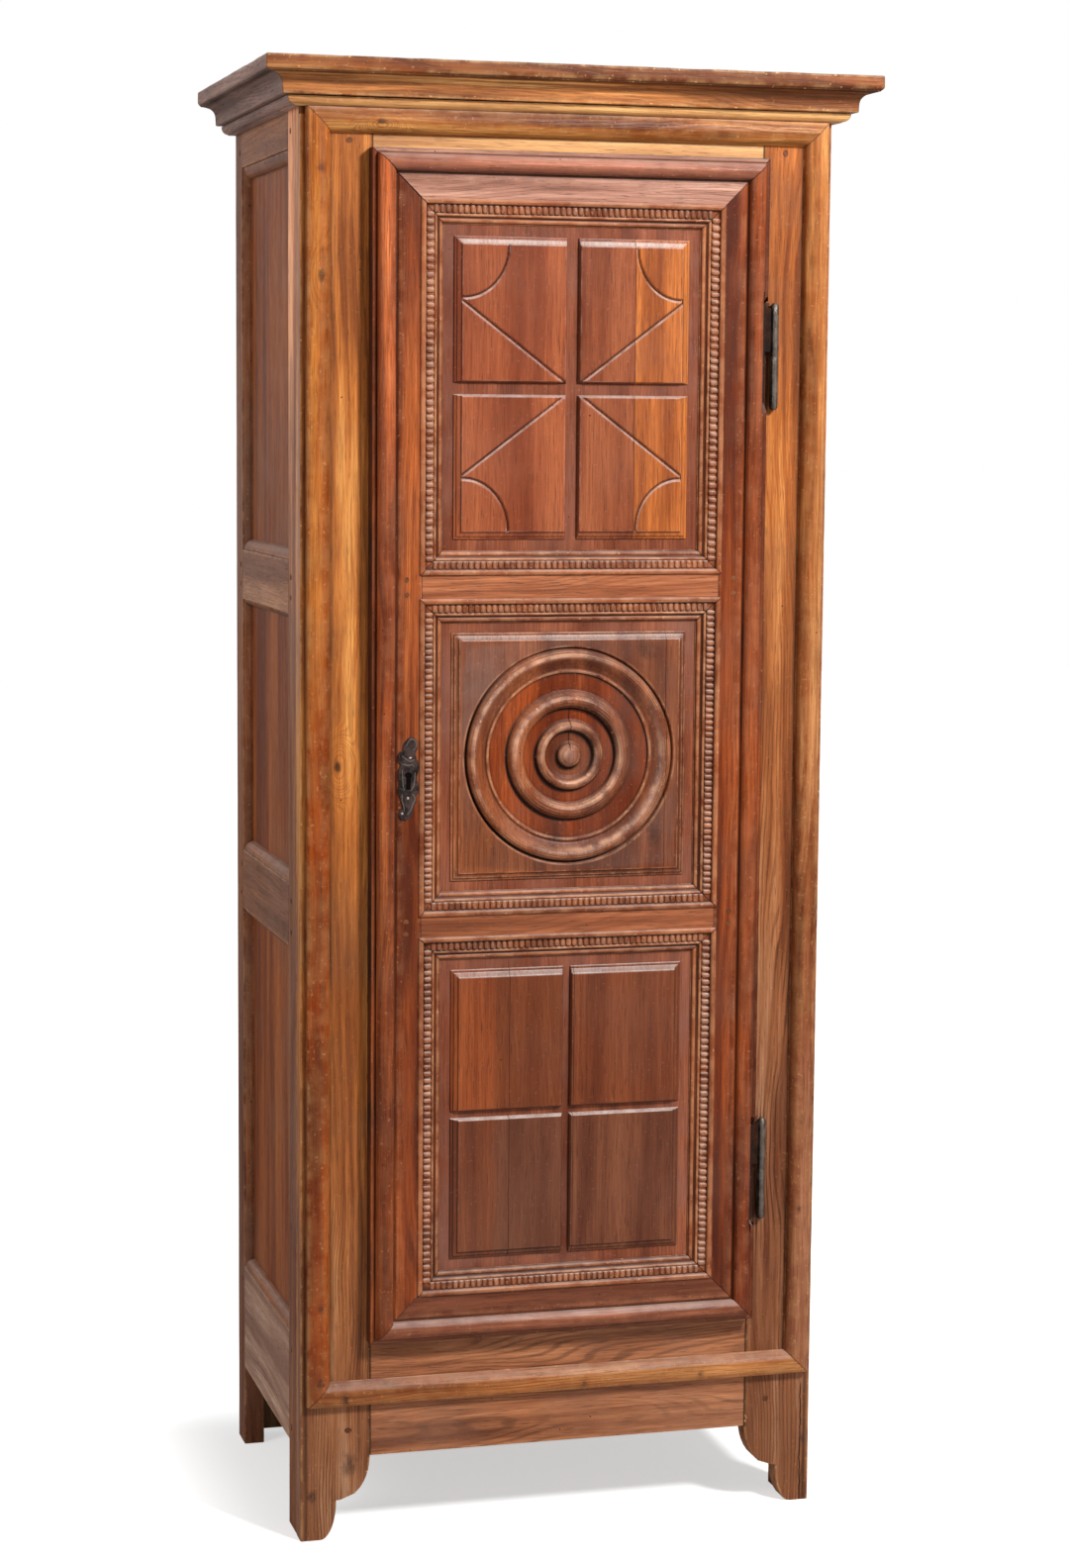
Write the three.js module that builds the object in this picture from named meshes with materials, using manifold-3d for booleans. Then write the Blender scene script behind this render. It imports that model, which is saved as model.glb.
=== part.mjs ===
// A bonnetiere: a tall, narrow, one-door linen cupboard in joined and panelled wood.
// Lengths are in millimetres. The case's own frame runs X from its left face, Y back from its
// front face and Z up from the floor; the last group moves it so that the origin is bottom centre.
import * as THREE from 'three';
import { mergeVertices } from 'three/addons/utils/BufferGeometryUtils.js';
import Module from 'manifold-3d';

const wasm = await Module();
wasm.setup();

// Overall sizes
const caseWidth = 738;
const caseDepth = 486;
const overallHeight = 2000;
const corniceOverhang = 55;

// Fits: the gap that pieces seated in one another keep, and how far a cut runs past its face
const fit = 0.3;
const mitreGap = 0.4;
const cutOverrun = 5;

// Smoothness of curved outlines and turned shapes
const arcSteps = 10;
const footArcSteps = 20;
const mouldingSteps = 6;
const turnedSides = 16;
const roundelSides = 56;

// Top board, a loose lid that lies on the posts inside the cornice
const topBoardThickness = 15;
const topBoardDrop = 3;
const postTop = overallHeight - topBoardDrop - topBoardThickness;

// Front posts: an L in plan, a face board and a side board; rear posts are square stock
const postFaceWidth = 97;
const postFaceThickness = 30;
const postSideDepth = 85;
const postSideThickness = 30;
const rearPostWidth = 30;
const rearPostDepth = 50;

// Scalloped foot below the apron: an upper arc, a step in and a toe arc
const apronBottom = 114.5;
const footArcWidth = 41;
const footArcHeight = 59.5;
const footStepWidth = 6;
const footToeArcWidth = 22;

// Front rails between the posts
const apronHeight = 168;
const frontTopRailHeight = 99.5;
const frontTenonThickness = 10;
const frontTenonLength = 50;
const tenonShoulder = 12;

// Side rails and the thin panels in their grooves
const sideRailThickness = 27;
const sideBottomRailRise = 4.5;
const sideBottomRailHeight = 155;
const sideLowerRailHeight = 87;
const sideLowerRailRise = 6;
const sideUpperRailHeight = 72;
const sideUpperRailDrop = 4;
const sideTopRailHeight = 92;
const sideTenonLength = 18;
const tenonRoot = 5;
const sidePanelThickness = 8;
const sidePanelSink = 13;
const grooveDepth = 8;

// Back: two rails between the rear posts, and boards nailed on behind them
const backBoardThickness = 14;
const backBoardBottom = 10;
const backRailThickness = 20;
const backTenonThickness = 8;

// Floor board, shelves and the battens that carry them
const floorBoardRise = 78;
const floorBoardThickness = 18;
const shelfThickness = 18;
const shelfFrontSetback = 45;
const shelfBackGap = 7;
const shelfRailShare = 0.54;
const battenSize = 20;

// Cornice: a crown moulding over a bed moulding, mitred at the front corners
const crownHeight = 48;
const crownTopFillet = 13;
const crownFootFillet = 8;
const crownFootOverhang = 28;
const coveInset = 0.5;
const bedGap = 1;
const bedHeight = 12;
const bedOverhang = 21;
const bedFootOverhang = 10.6;

// Moulding planted round the front of the case
const frontMouldingInset = 7;
const frontMouldingWidth = 33;
const frontMouldingProud = 17;
const frontMouldingEdge = 12;
const frontMouldingLow = 190;

// Door frame. The lip laps over the posts, and the tongue behind it enters the opening
const doorGapLock = 1.5;
const doorGapHinge = 4.5;
const doorGapEnds = 1.5;
const lipWidth = 6.5;
const lipStandoff = 1;
const lipFrontProud = 22;
const doorFaceProud = 27;
const doorTongueDepth = 8;
const doorFilletWidth = 8;
const torusWidth = 23;
const torusProud = 38;
const doorMemberWidth = 67.5;
const lowerMidRailHeight = 34.5;
const upperMidRailHeight = 37.5;
const middlePanelOpening = 422.5;
const midTenonLength = 35;

// Door panels, carved in one thickness of board, and the mouldings nailed round them
const panelTongueThickness = 12;
const panelFaceProud = 15;
const plinthRise = 2;
const fieldRise = 8;
const panelMouldingWidth = 29.5;
const panelMouldingProud = 31;
const panelMouldingInnerProud = 17;
const fieldMargin = 15;
const plinthWidth = 4;
const fieldBevel = 8;
const channelFloorWidth = 10;
const roundelMargin = 6;
const roundelDepth = 8;

// Fiche hinges: a knuckle and leaf on the post with the pin, and another on the door
const hingeHeight = 145;
const hingeRadius = 6;
const hingePinRadius = 3;
const hingePinPlay = 0.3;
const hingeKnuckleGap = 1;
const hingeStandoff = 14;
const hingeFaceGap = 2;
const hingeEndRounding = 1.5;
const hingeLeafThickness = 2.5;
const hingeLeafInset = 6;
const postLeafDepth = 22;
const doorLeafDepth = 38;
const upperHingeDrop = 265.5;
const lowerHingeRise = 212.5;

// Lock: an iron case behind the lock stile, a bolt, and a pierced plate round the keyhole
const lockDrop = 26.5;
const lockWidth = 56;
const lockHeight = 110;
const lockThickness = 16;
const lockEdgeInset = 1;
const boltHeight = 22;
const boltThickness = 9;
const boltLength = 50;
const boltTravel = 12;
const boltMortisePlay = 1;
const plateThickness = 1.5;
const plateHeight = 113;
const plateWidth = 29;
const keyholeRadius = 3;
const keyholeSlotWidth = 3;
const keyholeSlotDrop = 12;

// Derived places on the case
const openingLeft = postFaceWidth;
const openingRight = caseWidth - postFaceWidth;
const openingLow = apronBottom + apronHeight;
const openingHigh = postTop - frontTopRailHeight;
const rearPostFront = caseDepth - rearPostDepth;
const boardFront = caseDepth - backBoardThickness;
const backRailFront = boardFront - backRailThickness;
const crownLow = overallHeight - crownHeight;
const bedHigh = crownLow - bedGap;
const bedLow = bedHigh - bedHeight;

// Derived places on the door, in the case's frame
const doorLeft = openingLeft + doorGapLock - lipWidth;
const doorRight = openingRight - doorGapHinge + lipWidth;
const doorLow = openingLow + doorGapEnds - lipWidth;
const doorHigh = openingHigh - doorGapEnds + lipWidth;
const doorWidth = doorRight - doorLeft;
const doorHeight = doorHigh - doorLow;
const midRailsHeight = lowerMidRailHeight + upperMidRailHeight;
const equalOpening = (doorHeight - 2 * doorMemberWidth - midRailsHeight - middlePanelOpening) / 2;
const lowerMidRailLow = doorMemberWidth + equalOpening;
const upperMidRailLow = lowerMidRailLow + lowerMidRailHeight + middlePanelOpening;
const lockCentreRise = upperMidRailLow - middlePanelOpening / 2 - lockDrop;
const panelLeft = doorMemberWidth;
const panelRight = doorWidth - doorMemberWidth;
const hingeX = doorRight + hingeStandoff;
const hingeY = -(hingeRadius + hingeFaceGap);

// Side rails stand level with the door's mid rails, a little above the lower and below the upper
const sideBottomRailLow = apronBottom + sideBottomRailRise;
const lowerMidRailCentre = doorLow + lowerMidRailLow + lowerMidRailHeight / 2;
const sideLowerRailLow = lowerMidRailCentre + sideLowerRailRise - sideLowerRailHeight / 2;
const upperMidRailCentre = doorLow + upperMidRailLow + upperMidRailHeight / 2;
const sideUpperRailLow = upperMidRailCentre - sideUpperRailDrop - sideUpperRailHeight / 2;
const sideTopRailLow = postTop - sideTopRailHeight;
const floorBoardLow = sideBottomRailLow + floorBoardRise;

const quarterTurn = Math.PI / 2;

const oak = new THREE.Color(0xb0703a);
const doorWood = new THREE.Color(0x96553a);
const sideWood = new THREE.Color(0x82604b);
const innerWood = new THREE.Color(0x9a7650);
const iron = new THREE.Color(0x463e3a);

const cabinet = new THREE.Group();
const caseGroup = new THREE.Group();
const doorGroup = new THREE.Group();
cabinet.add(caseGroup);
cabinet.add(doorGroup);
cabinet.position.set(-caseWidth / 2, (corniceOverhang - caseDepth) / 2, 0);
doorGroup.position.set(doorLeft, 0, doorLow);

// Adds one named piece to a group, in wood or iron.
function place(group, name, geometry, color, metal) {
  const material = new THREE.MeshStandardMaterial({
    color,
    roughness: metal ? 0.55 : 0.65,
    metalness: metal ? 0.8 : 0,
  });
  const mesh = new THREE.Mesh(geometry, material);
  mesh.name = name;
  group.add(mesh);
  return mesh;
}

// A box by its low and high corner on each axis.
function span(x0, x1, y0, y1, z0, z1) {
  return { low: new THREE.Vector3(x0, y0, z0), high: new THREE.Vector3(x1, y1, z1) };
}

function grown(box, margin) {
  return {
    low: box.low.clone().subScalar(margin),
    high: box.high.clone().addScalar(margin),
  };
}

function boxGeometry(box) {
  const size = box.high.clone().sub(box.low);
  const centre = box.high.clone().add(box.low).multiplyScalar(0.5);
  const geometry = new THREE.BoxGeometry(size.x, size.y, size.z);
  geometry.translate(centre.x, centre.y, centre.z);
  return geometry;
}

// The same box on the other side of the case's middle plane.
function acrossCase(box) {
  return span(caseWidth - box.high.x, caseWidth - box.low.x, box.low.y, box.high.y, box.low.z, box.high.z);
}

function mirroredGeometry(geometry) {
  const copy = geometry.index ? geometry.toNonIndexed() : geometry.clone();
  copy.deleteAttribute('normal');
  copy.deleteAttribute('uv');
  copy.scale(-1, 1, 1);
  copy.translate(caseWidth, 0, 0);
  const merged = mergeVertices(copy);
  const index = Array.from(merged.index.array);
  for (let i = 0; i < index.length; i += 3) {
    [index[i + 1], index[i + 2]] = [index[i + 2], index[i + 1]];
  }
  merged.setIndex(index);
  return merged;
}

// A solid for cutting and joining, from a closed geometry.
function solid(geometry) {
  const plain = geometry.clone();
  plain.deleteAttribute('normal');
  plain.deleteAttribute('uv');
  const merged = mergeVertices(plain);
  return new wasm.Manifold(new wasm.Mesh({
    numProp: 3,
    vertProperties: Float32Array.from(merged.attributes.position.array),
    triVerts: Uint32Array.from(merged.index.array),
  }));
}

function geometryOf(body) {
  const mesh = body.getMesh();
  const geometry = new THREE.BufferGeometry();
  geometry.setAttribute('position', new THREE.BufferAttribute(new Float32Array(mesh.vertProperties), 3));
  geometry.setIndex(new THREE.BufferAttribute(new Uint32Array(mesh.triVerts), 1));
  geometry.computeVertexNormals();
  return geometry;
}

// Joins the first geometry with others, then cuts boxes and shapes out of it.
function worked(geometry, joined, cut) {
  let body = solid(geometry);
  for (const other of joined) {
    body = body.add(solid(other));
  }
  for (const tool of cut) {
    body = body.subtract(solid(tool));
  }
  return geometryOf(body);
}

function cutsFor(boxes) {
  return boxes.map((box) => boxGeometry(grown(box, fit)));
}

// An outline in X and Z, run along Y.
function prismAlongY(points, y0, y1) {
  const shape = new THREE.Shape(points.map(([x, z]) => new THREE.Vector2(z, x)));
  const geometry = new THREE.ExtrudeGeometry(shape, { depth: y1 - y0, bevelEnabled: false });
  const axes = new THREE.Matrix4().makeBasis(
    new THREE.Vector3(0, 0, 1),
    new THREE.Vector3(1, 0, 0),
    new THREE.Vector3(0, 1, 0),
  );
  geometry.applyMatrix4(axes);
  geometry.translate(0, y0, 0);
  return geometry;
}

// Points of an arc of an ellipse about a centre, from one angle to another.
function arc(centreX, centreY, radiusX, radiusY, startAngle, endAngle, steps) {
  const points = [];
  for (let i = 0; i <= steps; i += 1) {
    const angle = startAngle + (endAngle - startAngle) * (i / steps);
    points.push([centreX + radiusX * Math.cos(angle), centreY + radiusY * Math.sin(angle)]);
  }
  return points;
}

// A straight moulding: a profile in X and Y run along Z. At each end it is cut back by its
// distance across times the mitre there, so 1 is a corner that faces in and -1 one that faces out.
function strip(profile, length, startMitre, endMitre, gap) {
  const shape = new THREE.Shape(profile.map(([across, out]) => new THREE.Vector2(across, out)));
  const geometry = new THREE.ExtrudeGeometry(shape, { depth: length, bevelEnabled: false });
  const position = geometry.attributes.position;
  for (let i = 0; i < position.count; i += 1) {
    const across = position.getX(i);
    const atStart = position.getZ(i) < length / 2;
    const along = atStart ? startMitre * across + gap : length - endMitre * across - gap;
    position.setZ(i, along);
  }
  return geometry;
}

// A closed rectangle of moulding, mitred at its four corners, in the plane of X and Z.
function mitredRing(profile, x0, x1, z0, z1) {
  const corners = [[x0, z0, 1, 1], [x1, z0, -1, 1], [x1, z1, -1, -1], [x0, z1, 1, -1]];
  const positions = [];
  for (const [x, z, inX, inZ] of corners) {
    for (const [across, y] of profile) {
      positions.push(x + inX * across, y, z + inZ * across);
    }
  }
  const index = [];
  const count = profile.length;
  for (let c = 0; c < corners.length; c += 1) {
    const next = (c + 1) % corners.length;
    for (let p = 0; p < count; p += 1) {
      const q = (p + 1) % count;
      index.push(c * count + p, next * count + p, next * count + q);
      index.push(c * count + p, next * count + q, c * count + q);
    }
  }
  const geometry = new THREE.BufferGeometry();
  geometry.setAttribute('position', new THREE.BufferAttribute(new Float32Array(positions), 3));
  geometry.setIndex(index);
  return geometry;
}

// A raised block: rectangles stacked from a back plane to a face plane, each a depth and an inset.
function raisedBlock(x0, x1, z0, z1, levels) {
  const points = [];
  for (const [y, inset] of levels) {
    points.push([x0 + inset, y, z0 + inset], [x1 - inset, y, z0 + inset]);
    points.push([x1 - inset, y, z1 - inset], [x0 + inset, y, z1 - inset]);
  }
  const sides = points.length / levels.length;
  const last = points.length - sides;
  const index = [0, 2, 1, 0, 3, 2, last, last + 1, last + 2, last, last + 2, last + 3];
  for (let level = 0; level < last; level += sides) {
    for (let i = 0; i < sides; i += 1) {
      const a = level + i;
      const b = level + ((i + 1) % sides);
      index.push(a, b, b + sides, a, b + sides, a + sides);
    }
  }
  const geometry = new THREE.BufferGeometry();
  geometry.setAttribute('position', new THREE.BufferAttribute(new Float32Array(points.flat()), 3));
  geometry.setIndex(index);
  return geometry;
}

// A turned shape about the X = 0, Z = 0 line, from points of radius and Y.
function turnedAlongY(points, sides) {
  return new THREE.LatheGeometry(points.map(([radius, y]) => new THREE.Vector2(radius, y)), sides);
}

// Side rails by name, low and high edge. The top one reaches the post tops.
function sideRail(name, low, height) {
  return { name, low, high: low + height };
}

const bottomRail = sideRail('bottom', sideBottomRailLow, sideBottomRailHeight);
const lowerRail = sideRail('lower', sideLowerRailLow, sideLowerRailHeight);
const upperRail = sideRail('upper', sideUpperRailLow, sideUpperRailHeight);
const topRail = sideRail('top', sideTopRailLow, sideTopRailHeight);
const sideRails = [bottomRail, lowerRail, upperRail, topRail];

const sidePanelX0 = sidePanelSink;
const sidePanelX1 = sidePanelSink + sidePanelThickness;

// Every left-hand side rail as a box, and the tenons on its two ends. A tenon's box starts a
// root's length inside its rail, so that the two join.
function sideRailBox(low, high) {
  return span(0, sideRailThickness, postSideDepth, rearPostFront, low, high);
}

function sideRailTenons(low, high) {
  const z0 = low + tenonShoulder;
  const z1 = high - tenonShoulder;
  return [
    span(sidePanelX0, sidePanelX1, postSideDepth - sideTenonLength, postSideDepth + tenonRoot, z0, z1),
    span(sidePanelX0, sidePanelX1, rearPostFront - tenonRoot, rearPostFront + sideTenonLength, z0, z1),
  ];
}

// The three left-hand panels, each let into the grooves round it.
const sidePanels = ['lower', 'middle', 'upper'].map((name, i) => [
  name,
  span(
    sidePanelX0,
    sidePanelX1,
    postSideDepth - grooveDepth,
    rearPostFront + grooveDepth,
    sideRails[i].high - grooveDepth,
    sideRails[i + 1].low + grooveDepth,
  ),
]);

// Front and back rails, and their tenons.
const frontRails = [
  ['front_bottom_rail', apronBottom, openingLow],
  ['front_top_rail', openingHigh, postTop],
];

const frontTenonY0 = (postFaceThickness - frontTenonThickness) / 2;

function frontRailTenon(low, high) {
  return span(
    openingLeft - frontTenonLength,
    openingLeft + tenonRoot,
    frontTenonY0,
    frontTenonY0 + frontTenonThickness,
    low + tenonShoulder,
    high - tenonShoulder,
  );
}

const backRails = [
  ['back_bottom_rail', bottomRail.low, bottomRail.high],
  ['back_top_rail', topRail.low, topRail.high],
];

const backTenonY0 = backRailFront + (backRailThickness - backTenonThickness) / 2;

function backRailTenon(low, high) {
  return span(
    rearPostWidth - sideTenonLength,
    rearPostWidth + tenonRoot,
    backTenonY0,
    backTenonY0 + backTenonThickness,
    low + tenonShoulder,
    high - tenonShoulder,
  );
}

const floorBox = span(
  sideRailThickness - grooveDepth,
  caseWidth - sideRailThickness + grooveDepth,
  postFaceThickness - grooveDepth,
  backRailFront + grooveDepth,
  floorBoardLow,
  floorBoardLow + floorBoardThickness,
);

// Front post legs as boxes, for the floor board's notches.
const faceLeg = span(0, postFaceWidth, 0, postFaceThickness, 0, postTop);
const sideLeg = span(0, postSideThickness, 0, postSideDepth, 0, postTop);
const rearPostBox = span(0, rearPostWidth, rearPostFront, caseDepth, 0, postTop);

// The space cut away beside the foot, below the apron.
function footCut() {
  const arcLow = apronBottom - footArcHeight;
  const arcLeft = postFaceWidth - footArcWidth;
  const toeRight = arcLeft - footStepWidth;
  const toeLeft = toeRight - footToeArcWidth;
  const outline = [
    [postFaceWidth + cutOverrun, apronBottom],
    ...arc(arcLeft, apronBottom, footArcWidth, footArcHeight, 0, -quarterTurn, footArcSteps),
    ...arc(toeLeft, arcLow, footToeArcWidth, arcLow, 0, -quarterTurn, footArcSteps),
    [toeLeft, -cutOverrun],
    [postFaceWidth + cutOverrun, -cutOverrun],
  ];
  return prismAlongY(outline, -cutOverrun, postFaceThickness);
}

// Lock bolt and its mortise, in the case's frame.
const lockY0 = doorTongueDepth;
const boltY0 = lockY0 + (lockThickness - boltThickness) / 2;
const lockX0 = lipWidth + lockEdgeInset;
const boltBox = span(
  lockX0,
  lockX0 + boltLength,
  boltY0,
  boltY0 + boltThickness,
  lockCentreRise - boltHeight / 2,
  lockCentreRise + boltHeight / 2,
);

function boltMortise() {
  const reach = doorLeft + lockX0 - boltTravel - boltMortisePlay;
  return boxGeometry(span(
    reach,
    openingLeft + cutOverrun,
    boltBox.low.y - boltMortisePlay,
    boltBox.high.y + boltMortisePlay,
    doorLow + boltBox.low.z - boltMortisePlay,
    doorLow + boltBox.high.z + boltMortisePlay,
  ));
}

// Hinges: name and height of the middle of each.
const hinges = [
  ['upper', doorHigh - upperHingeDrop],
  ['lower', doorLow + lowerHingeRise],
];

function postLeafBox(middle) {
  return span(
    hingeX - hingeLeafThickness / 2,
    hingeX + hingeLeafThickness / 2,
    hingeY,
    postLeafDepth,
    middle - hingeHeight / 2 + hingeLeafInset,
    middle - hingeLeafInset,
  );
}

function doorLeafBox(middle) {
  return span(
    doorRight - doorLeafDepth,
    hingeX - (hingeRadius + hingePinRadius) / 2,
    hingeY - hingeLeafThickness / 2,
    hingeY + hingeLeafThickness / 2,
    middle + hingeLeafInset,
    middle + hingeHeight / 2 - hingeLeafInset,
  );
}

// Front posts: an L-shaped upright, scalloped at the foot, with the joints cut in it.
function frontPost(extraCuts) {
  const outline = new THREE.Shape([
    new THREE.Vector2(0, 0),
    new THREE.Vector2(postFaceWidth, 0),
    new THREE.Vector2(postFaceWidth, postFaceThickness),
    new THREE.Vector2(postSideThickness, postFaceThickness),
    new THREE.Vector2(postSideThickness, postSideDepth),
    new THREE.Vector2(0, postSideDepth),
  ]);
  const upright = new THREE.ExtrudeGeometry(outline, { depth: postTop, bevelEnabled: false });
  const joints = [];
  for (const { low, high } of sideRails) {
    joints.push(sideRailTenons(low, high)[0]);
  }
  for (const [, box] of sidePanels) {
    joints.push(box);
  }
  for (const [, low, high] of frontRails) {
    joints.push(frontRailTenon(low, high));
  }
  return worked(upright, [], [footCut(), ...cutsFor(joints), ...extraCuts]);
}

function rearPost() {
  const joints = [];
  for (const { low, high } of sideRails) {
    joints.push(sideRailTenons(low, high)[1]);
  }
  for (const [, box] of sidePanels) {
    joints.push(box);
  }
  for (const [, low, high] of backRails) {
    joints.push(backRailTenon(low, high));
  }
  return worked(boxGeometry(rearPostBox), [], cutsFor(joints));
}

function addPosts() {
  const leafCuts = hinges.map(([, middle]) => boxGeometry(acrossCase(grown(postLeafBox(middle), fit))));
  place(caseGroup, 'post_front_left', frontPost([boltMortise()]), oak);
  place(caseGroup, 'post_front_right', mirroredGeometry(frontPost(leafCuts)), oak);
  place(caseGroup, 'post_rear_left', rearPost(), sideWood);
  place(caseGroup, 'post_rear_right', mirroredGeometry(rearPost()), sideWood);
}

// Front rails are flush with the posts and tenoned into their face boards.
function addFrontRails() {
  for (const [name, low, high] of frontRails) {
    const rail = boxGeometry(span(openingLeft, openingRight, 0, postFaceThickness, low, high));
    const tenon = frontRailTenon(low, high);
    const tenons = [boxGeometry(tenon), boxGeometry(acrossCase(tenon))];
    place(caseGroup, name, worked(rail, tenons, cutsFor([floorBox])), oak);
  }
}

// Side rails and panels, made for the left side and mirrored for the right.
function addSides() {
  const panelBoxes = sidePanels.map(([, box]) => box);
  for (const { name, low, high } of sideRails) {
    const tenons = sideRailTenons(low, high).map(boxGeometry);
    const rail = worked(boxGeometry(sideRailBox(low, high)), tenons, cutsFor([...panelBoxes, floorBox]));
    place(caseGroup, `side_${name}_rail_left`, rail, sideWood);
    place(caseGroup, `side_${name}_rail_right`, mirroredGeometry(rail), sideWood);
  }
  for (const [name, box] of sidePanels) {
    place(caseGroup, `side_${name}_panel_left`, boxGeometry(box), sideWood);
    place(caseGroup, `side_${name}_panel_right`, boxGeometry(acrossCase(box)), sideWood);
  }
}

function addBack() {
  for (const [name, low, high] of backRails) {
    const railRight = caseWidth - rearPostWidth;
    const rail = boxGeometry(span(rearPostWidth, railRight, backRailFront, boardFront, low, high));
    const tenon = backRailTenon(low, high);
    const tenons = [boxGeometry(tenon), boxGeometry(acrossCase(tenon))];
    place(caseGroup, name, worked(rail, tenons, cutsFor([floorBox])), innerWood);
  }
  const boards = span(
    rearPostWidth + fit,
    caseWidth - rearPostWidth - fit,
    boardFront,
    caseDepth,
    backBoardBottom,
    postTop,
  );
  place(caseGroup, 'back_boards', boxGeometry(boards), innerWood);
}

// Floor board in the bottom rails' grooves, notched round the four posts; the lid on top.
function addFloorAndTop() {
  const posts = [faceLeg, sideLeg, rearPostBox];
  const notches = cutsFor([...posts, ...posts.map(acrossCase)]);
  place(caseGroup, 'floor_board', worked(boxGeometry(floorBox), [], notches), innerWood);
  const lid = span(0, caseWidth, 0, caseDepth, postTop, postTop + topBoardThickness);
  place(caseGroup, 'top_board', boxGeometry(lid), innerWood);
}

// Two shelves at the side rails' height, each on a batten nailed to either side.
function addShelves() {
  for (const { name, low, high } of [lowerRail, upperRail]) {
    const shelfTop = low + (high - low) * shelfRailShare;
    const shelfLow = shelfTop - shelfThickness;
    const shelf = span(
      postSideThickness + fit,
      caseWidth - postSideThickness - fit,
      shelfFrontSetback,
      backRailFront - shelfBackGap,
      shelfLow,
      shelfTop,
    );
    const batten = span(
      sideRailThickness,
      sideRailThickness + battenSize,
      postSideDepth + fit,
      rearPostFront - fit,
      shelfLow - battenSize,
      shelfLow,
    );
    place(caseGroup, `shelf_${name}`, boxGeometry(shelf), innerWood);
    place(caseGroup, `shelf_${name}_batten_left`, boxGeometry(batten), innerWood);
    place(caseGroup, `shelf_${name}_batten_right`, boxGeometry(acrossCase(batten)), innerWood);
  }
}

// Crown profile, as overhang and height: foot fillet, a hollow sweeping out, top fillet.
function crownProfile() {
  const coveLow = crownLow + crownFootFillet;
  const coveHigh = overallHeight - crownTopFillet;
  const coveStart = crownFootOverhang + coveInset;
  const coveEnd = corniceOverhang - coveInset;
  const coveShares = [[0.1, 0.6], [0.6, 0.6]];
  const controls = coveShares.map(([outShare, upShare]) => new THREE.Vector2(
    coveStart + (coveEnd - coveStart) * outShare,
    coveLow + (coveHigh - coveLow) * upShare,
  ));
  const cove = new THREE.CubicBezierCurve(
    new THREE.Vector2(coveStart, coveLow),
    ...controls,
    new THREE.Vector2(coveEnd, coveHigh),
  );
  return [
    [0, crownLow],
    [crownFootOverhang, crownLow],
    [crownFootOverhang, coveLow],
    ...cove.getPoints(arcSteps).map((point) => [point.x, point.y]),
    [corniceOverhang, coveHigh],
    [corniceOverhang, overallHeight],
    [0, overallHeight],
  ];
}

function bedProfile() {
  const ovolo = arc(
    bedFootOverhang,
    bedHigh,
    bedOverhang - bedFootOverhang,
    bedHeight,
    -quarterTurn,
    0,
    mouldingSteps,
  );
  return [[0, bedLow], ...ovolo, [0, bedHigh]];
}

// Each cornice moulding is three strips: the front one mitred at both ends, the sides at one.
function addCornice() {
  const profiles = [['cornice_crown', crownProfile()], ['cornice_bed', bedProfile()]];
  for (const [name, profile] of profiles) {
    const front = strip(profile, caseWidth, -1, -1, mitreGap / 2);
    const left = strip(profile, caseDepth, -1, 0, 0);
    const right = strip(profile, caseDepth, 0, -1, 0);
    for (const geometry of [front, left, right]) {
      geometry.rotateX(quarterTurn);
    }
    const frontMesh = place(caseGroup, `${name}_front`, front, oak);
    frontMesh.rotation.z = -quarterTurn;
    frontMesh.position.set(caseWidth, 0, 0);
    const leftMesh = place(caseGroup, `${name}_left`, left, sideWood);
    leftMesh.rotation.z = 2 * quarterTurn;
    const rightMesh = place(caseGroup, `${name}_right`, right, sideWood);
    rightMesh.position.set(caseWidth, caseDepth, 0);
  }
}

// Four members round a rectangle, each turned a quarter about Y from the last.
function addMitredFrame(group, names, profile, width, height, x, z, color, extraCuts) {
  const lengths = [height, width, height, width];
  const corners = [[x, z], [x, z + height], [x + width, z + height], [x + width, z]];
  names.forEach((name, i) => {
    const geometry = strip(profile, lengths[i], 1, 1, mitreGap / 2);
    geometry.rotateY(i * quarterTurn);
    geometry.translate(corners[i][0], 0, corners[i][1]);
    const cuts = extraCuts[name] ?? [];
    place(group, name, cuts.length ? worked(geometry, [], cuts) : geometry, color);
  });
}

// Bold half-round moulding planted on the face of the case.
function addFrontMoulding() {
  const crest = frontMouldingWidth / 2;
  const profile = [
    [0, 0],
    ...arc(
      crest,
      -frontMouldingEdge,
      -crest,
      frontMouldingEdge - frontMouldingProud,
      0,
      quarterTurn,
      mouldingSteps,
    ),
    ...arc(crest, 0, crest, -frontMouldingProud, quarterTurn, 0, mouldingSteps).slice(1),
  ];
  const names = [
    'front_moulding_left',
    'front_moulding_top',
    'front_moulding_right',
    'front_moulding_bottom',
  ];
  const width = caseWidth - 2 * frontMouldingInset;
  const height = bedLow - frontMouldingLow;
  addMitredFrame(caseGroup, names, profile, width, height, frontMouldingInset, frontMouldingLow, oak, {});
}

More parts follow.
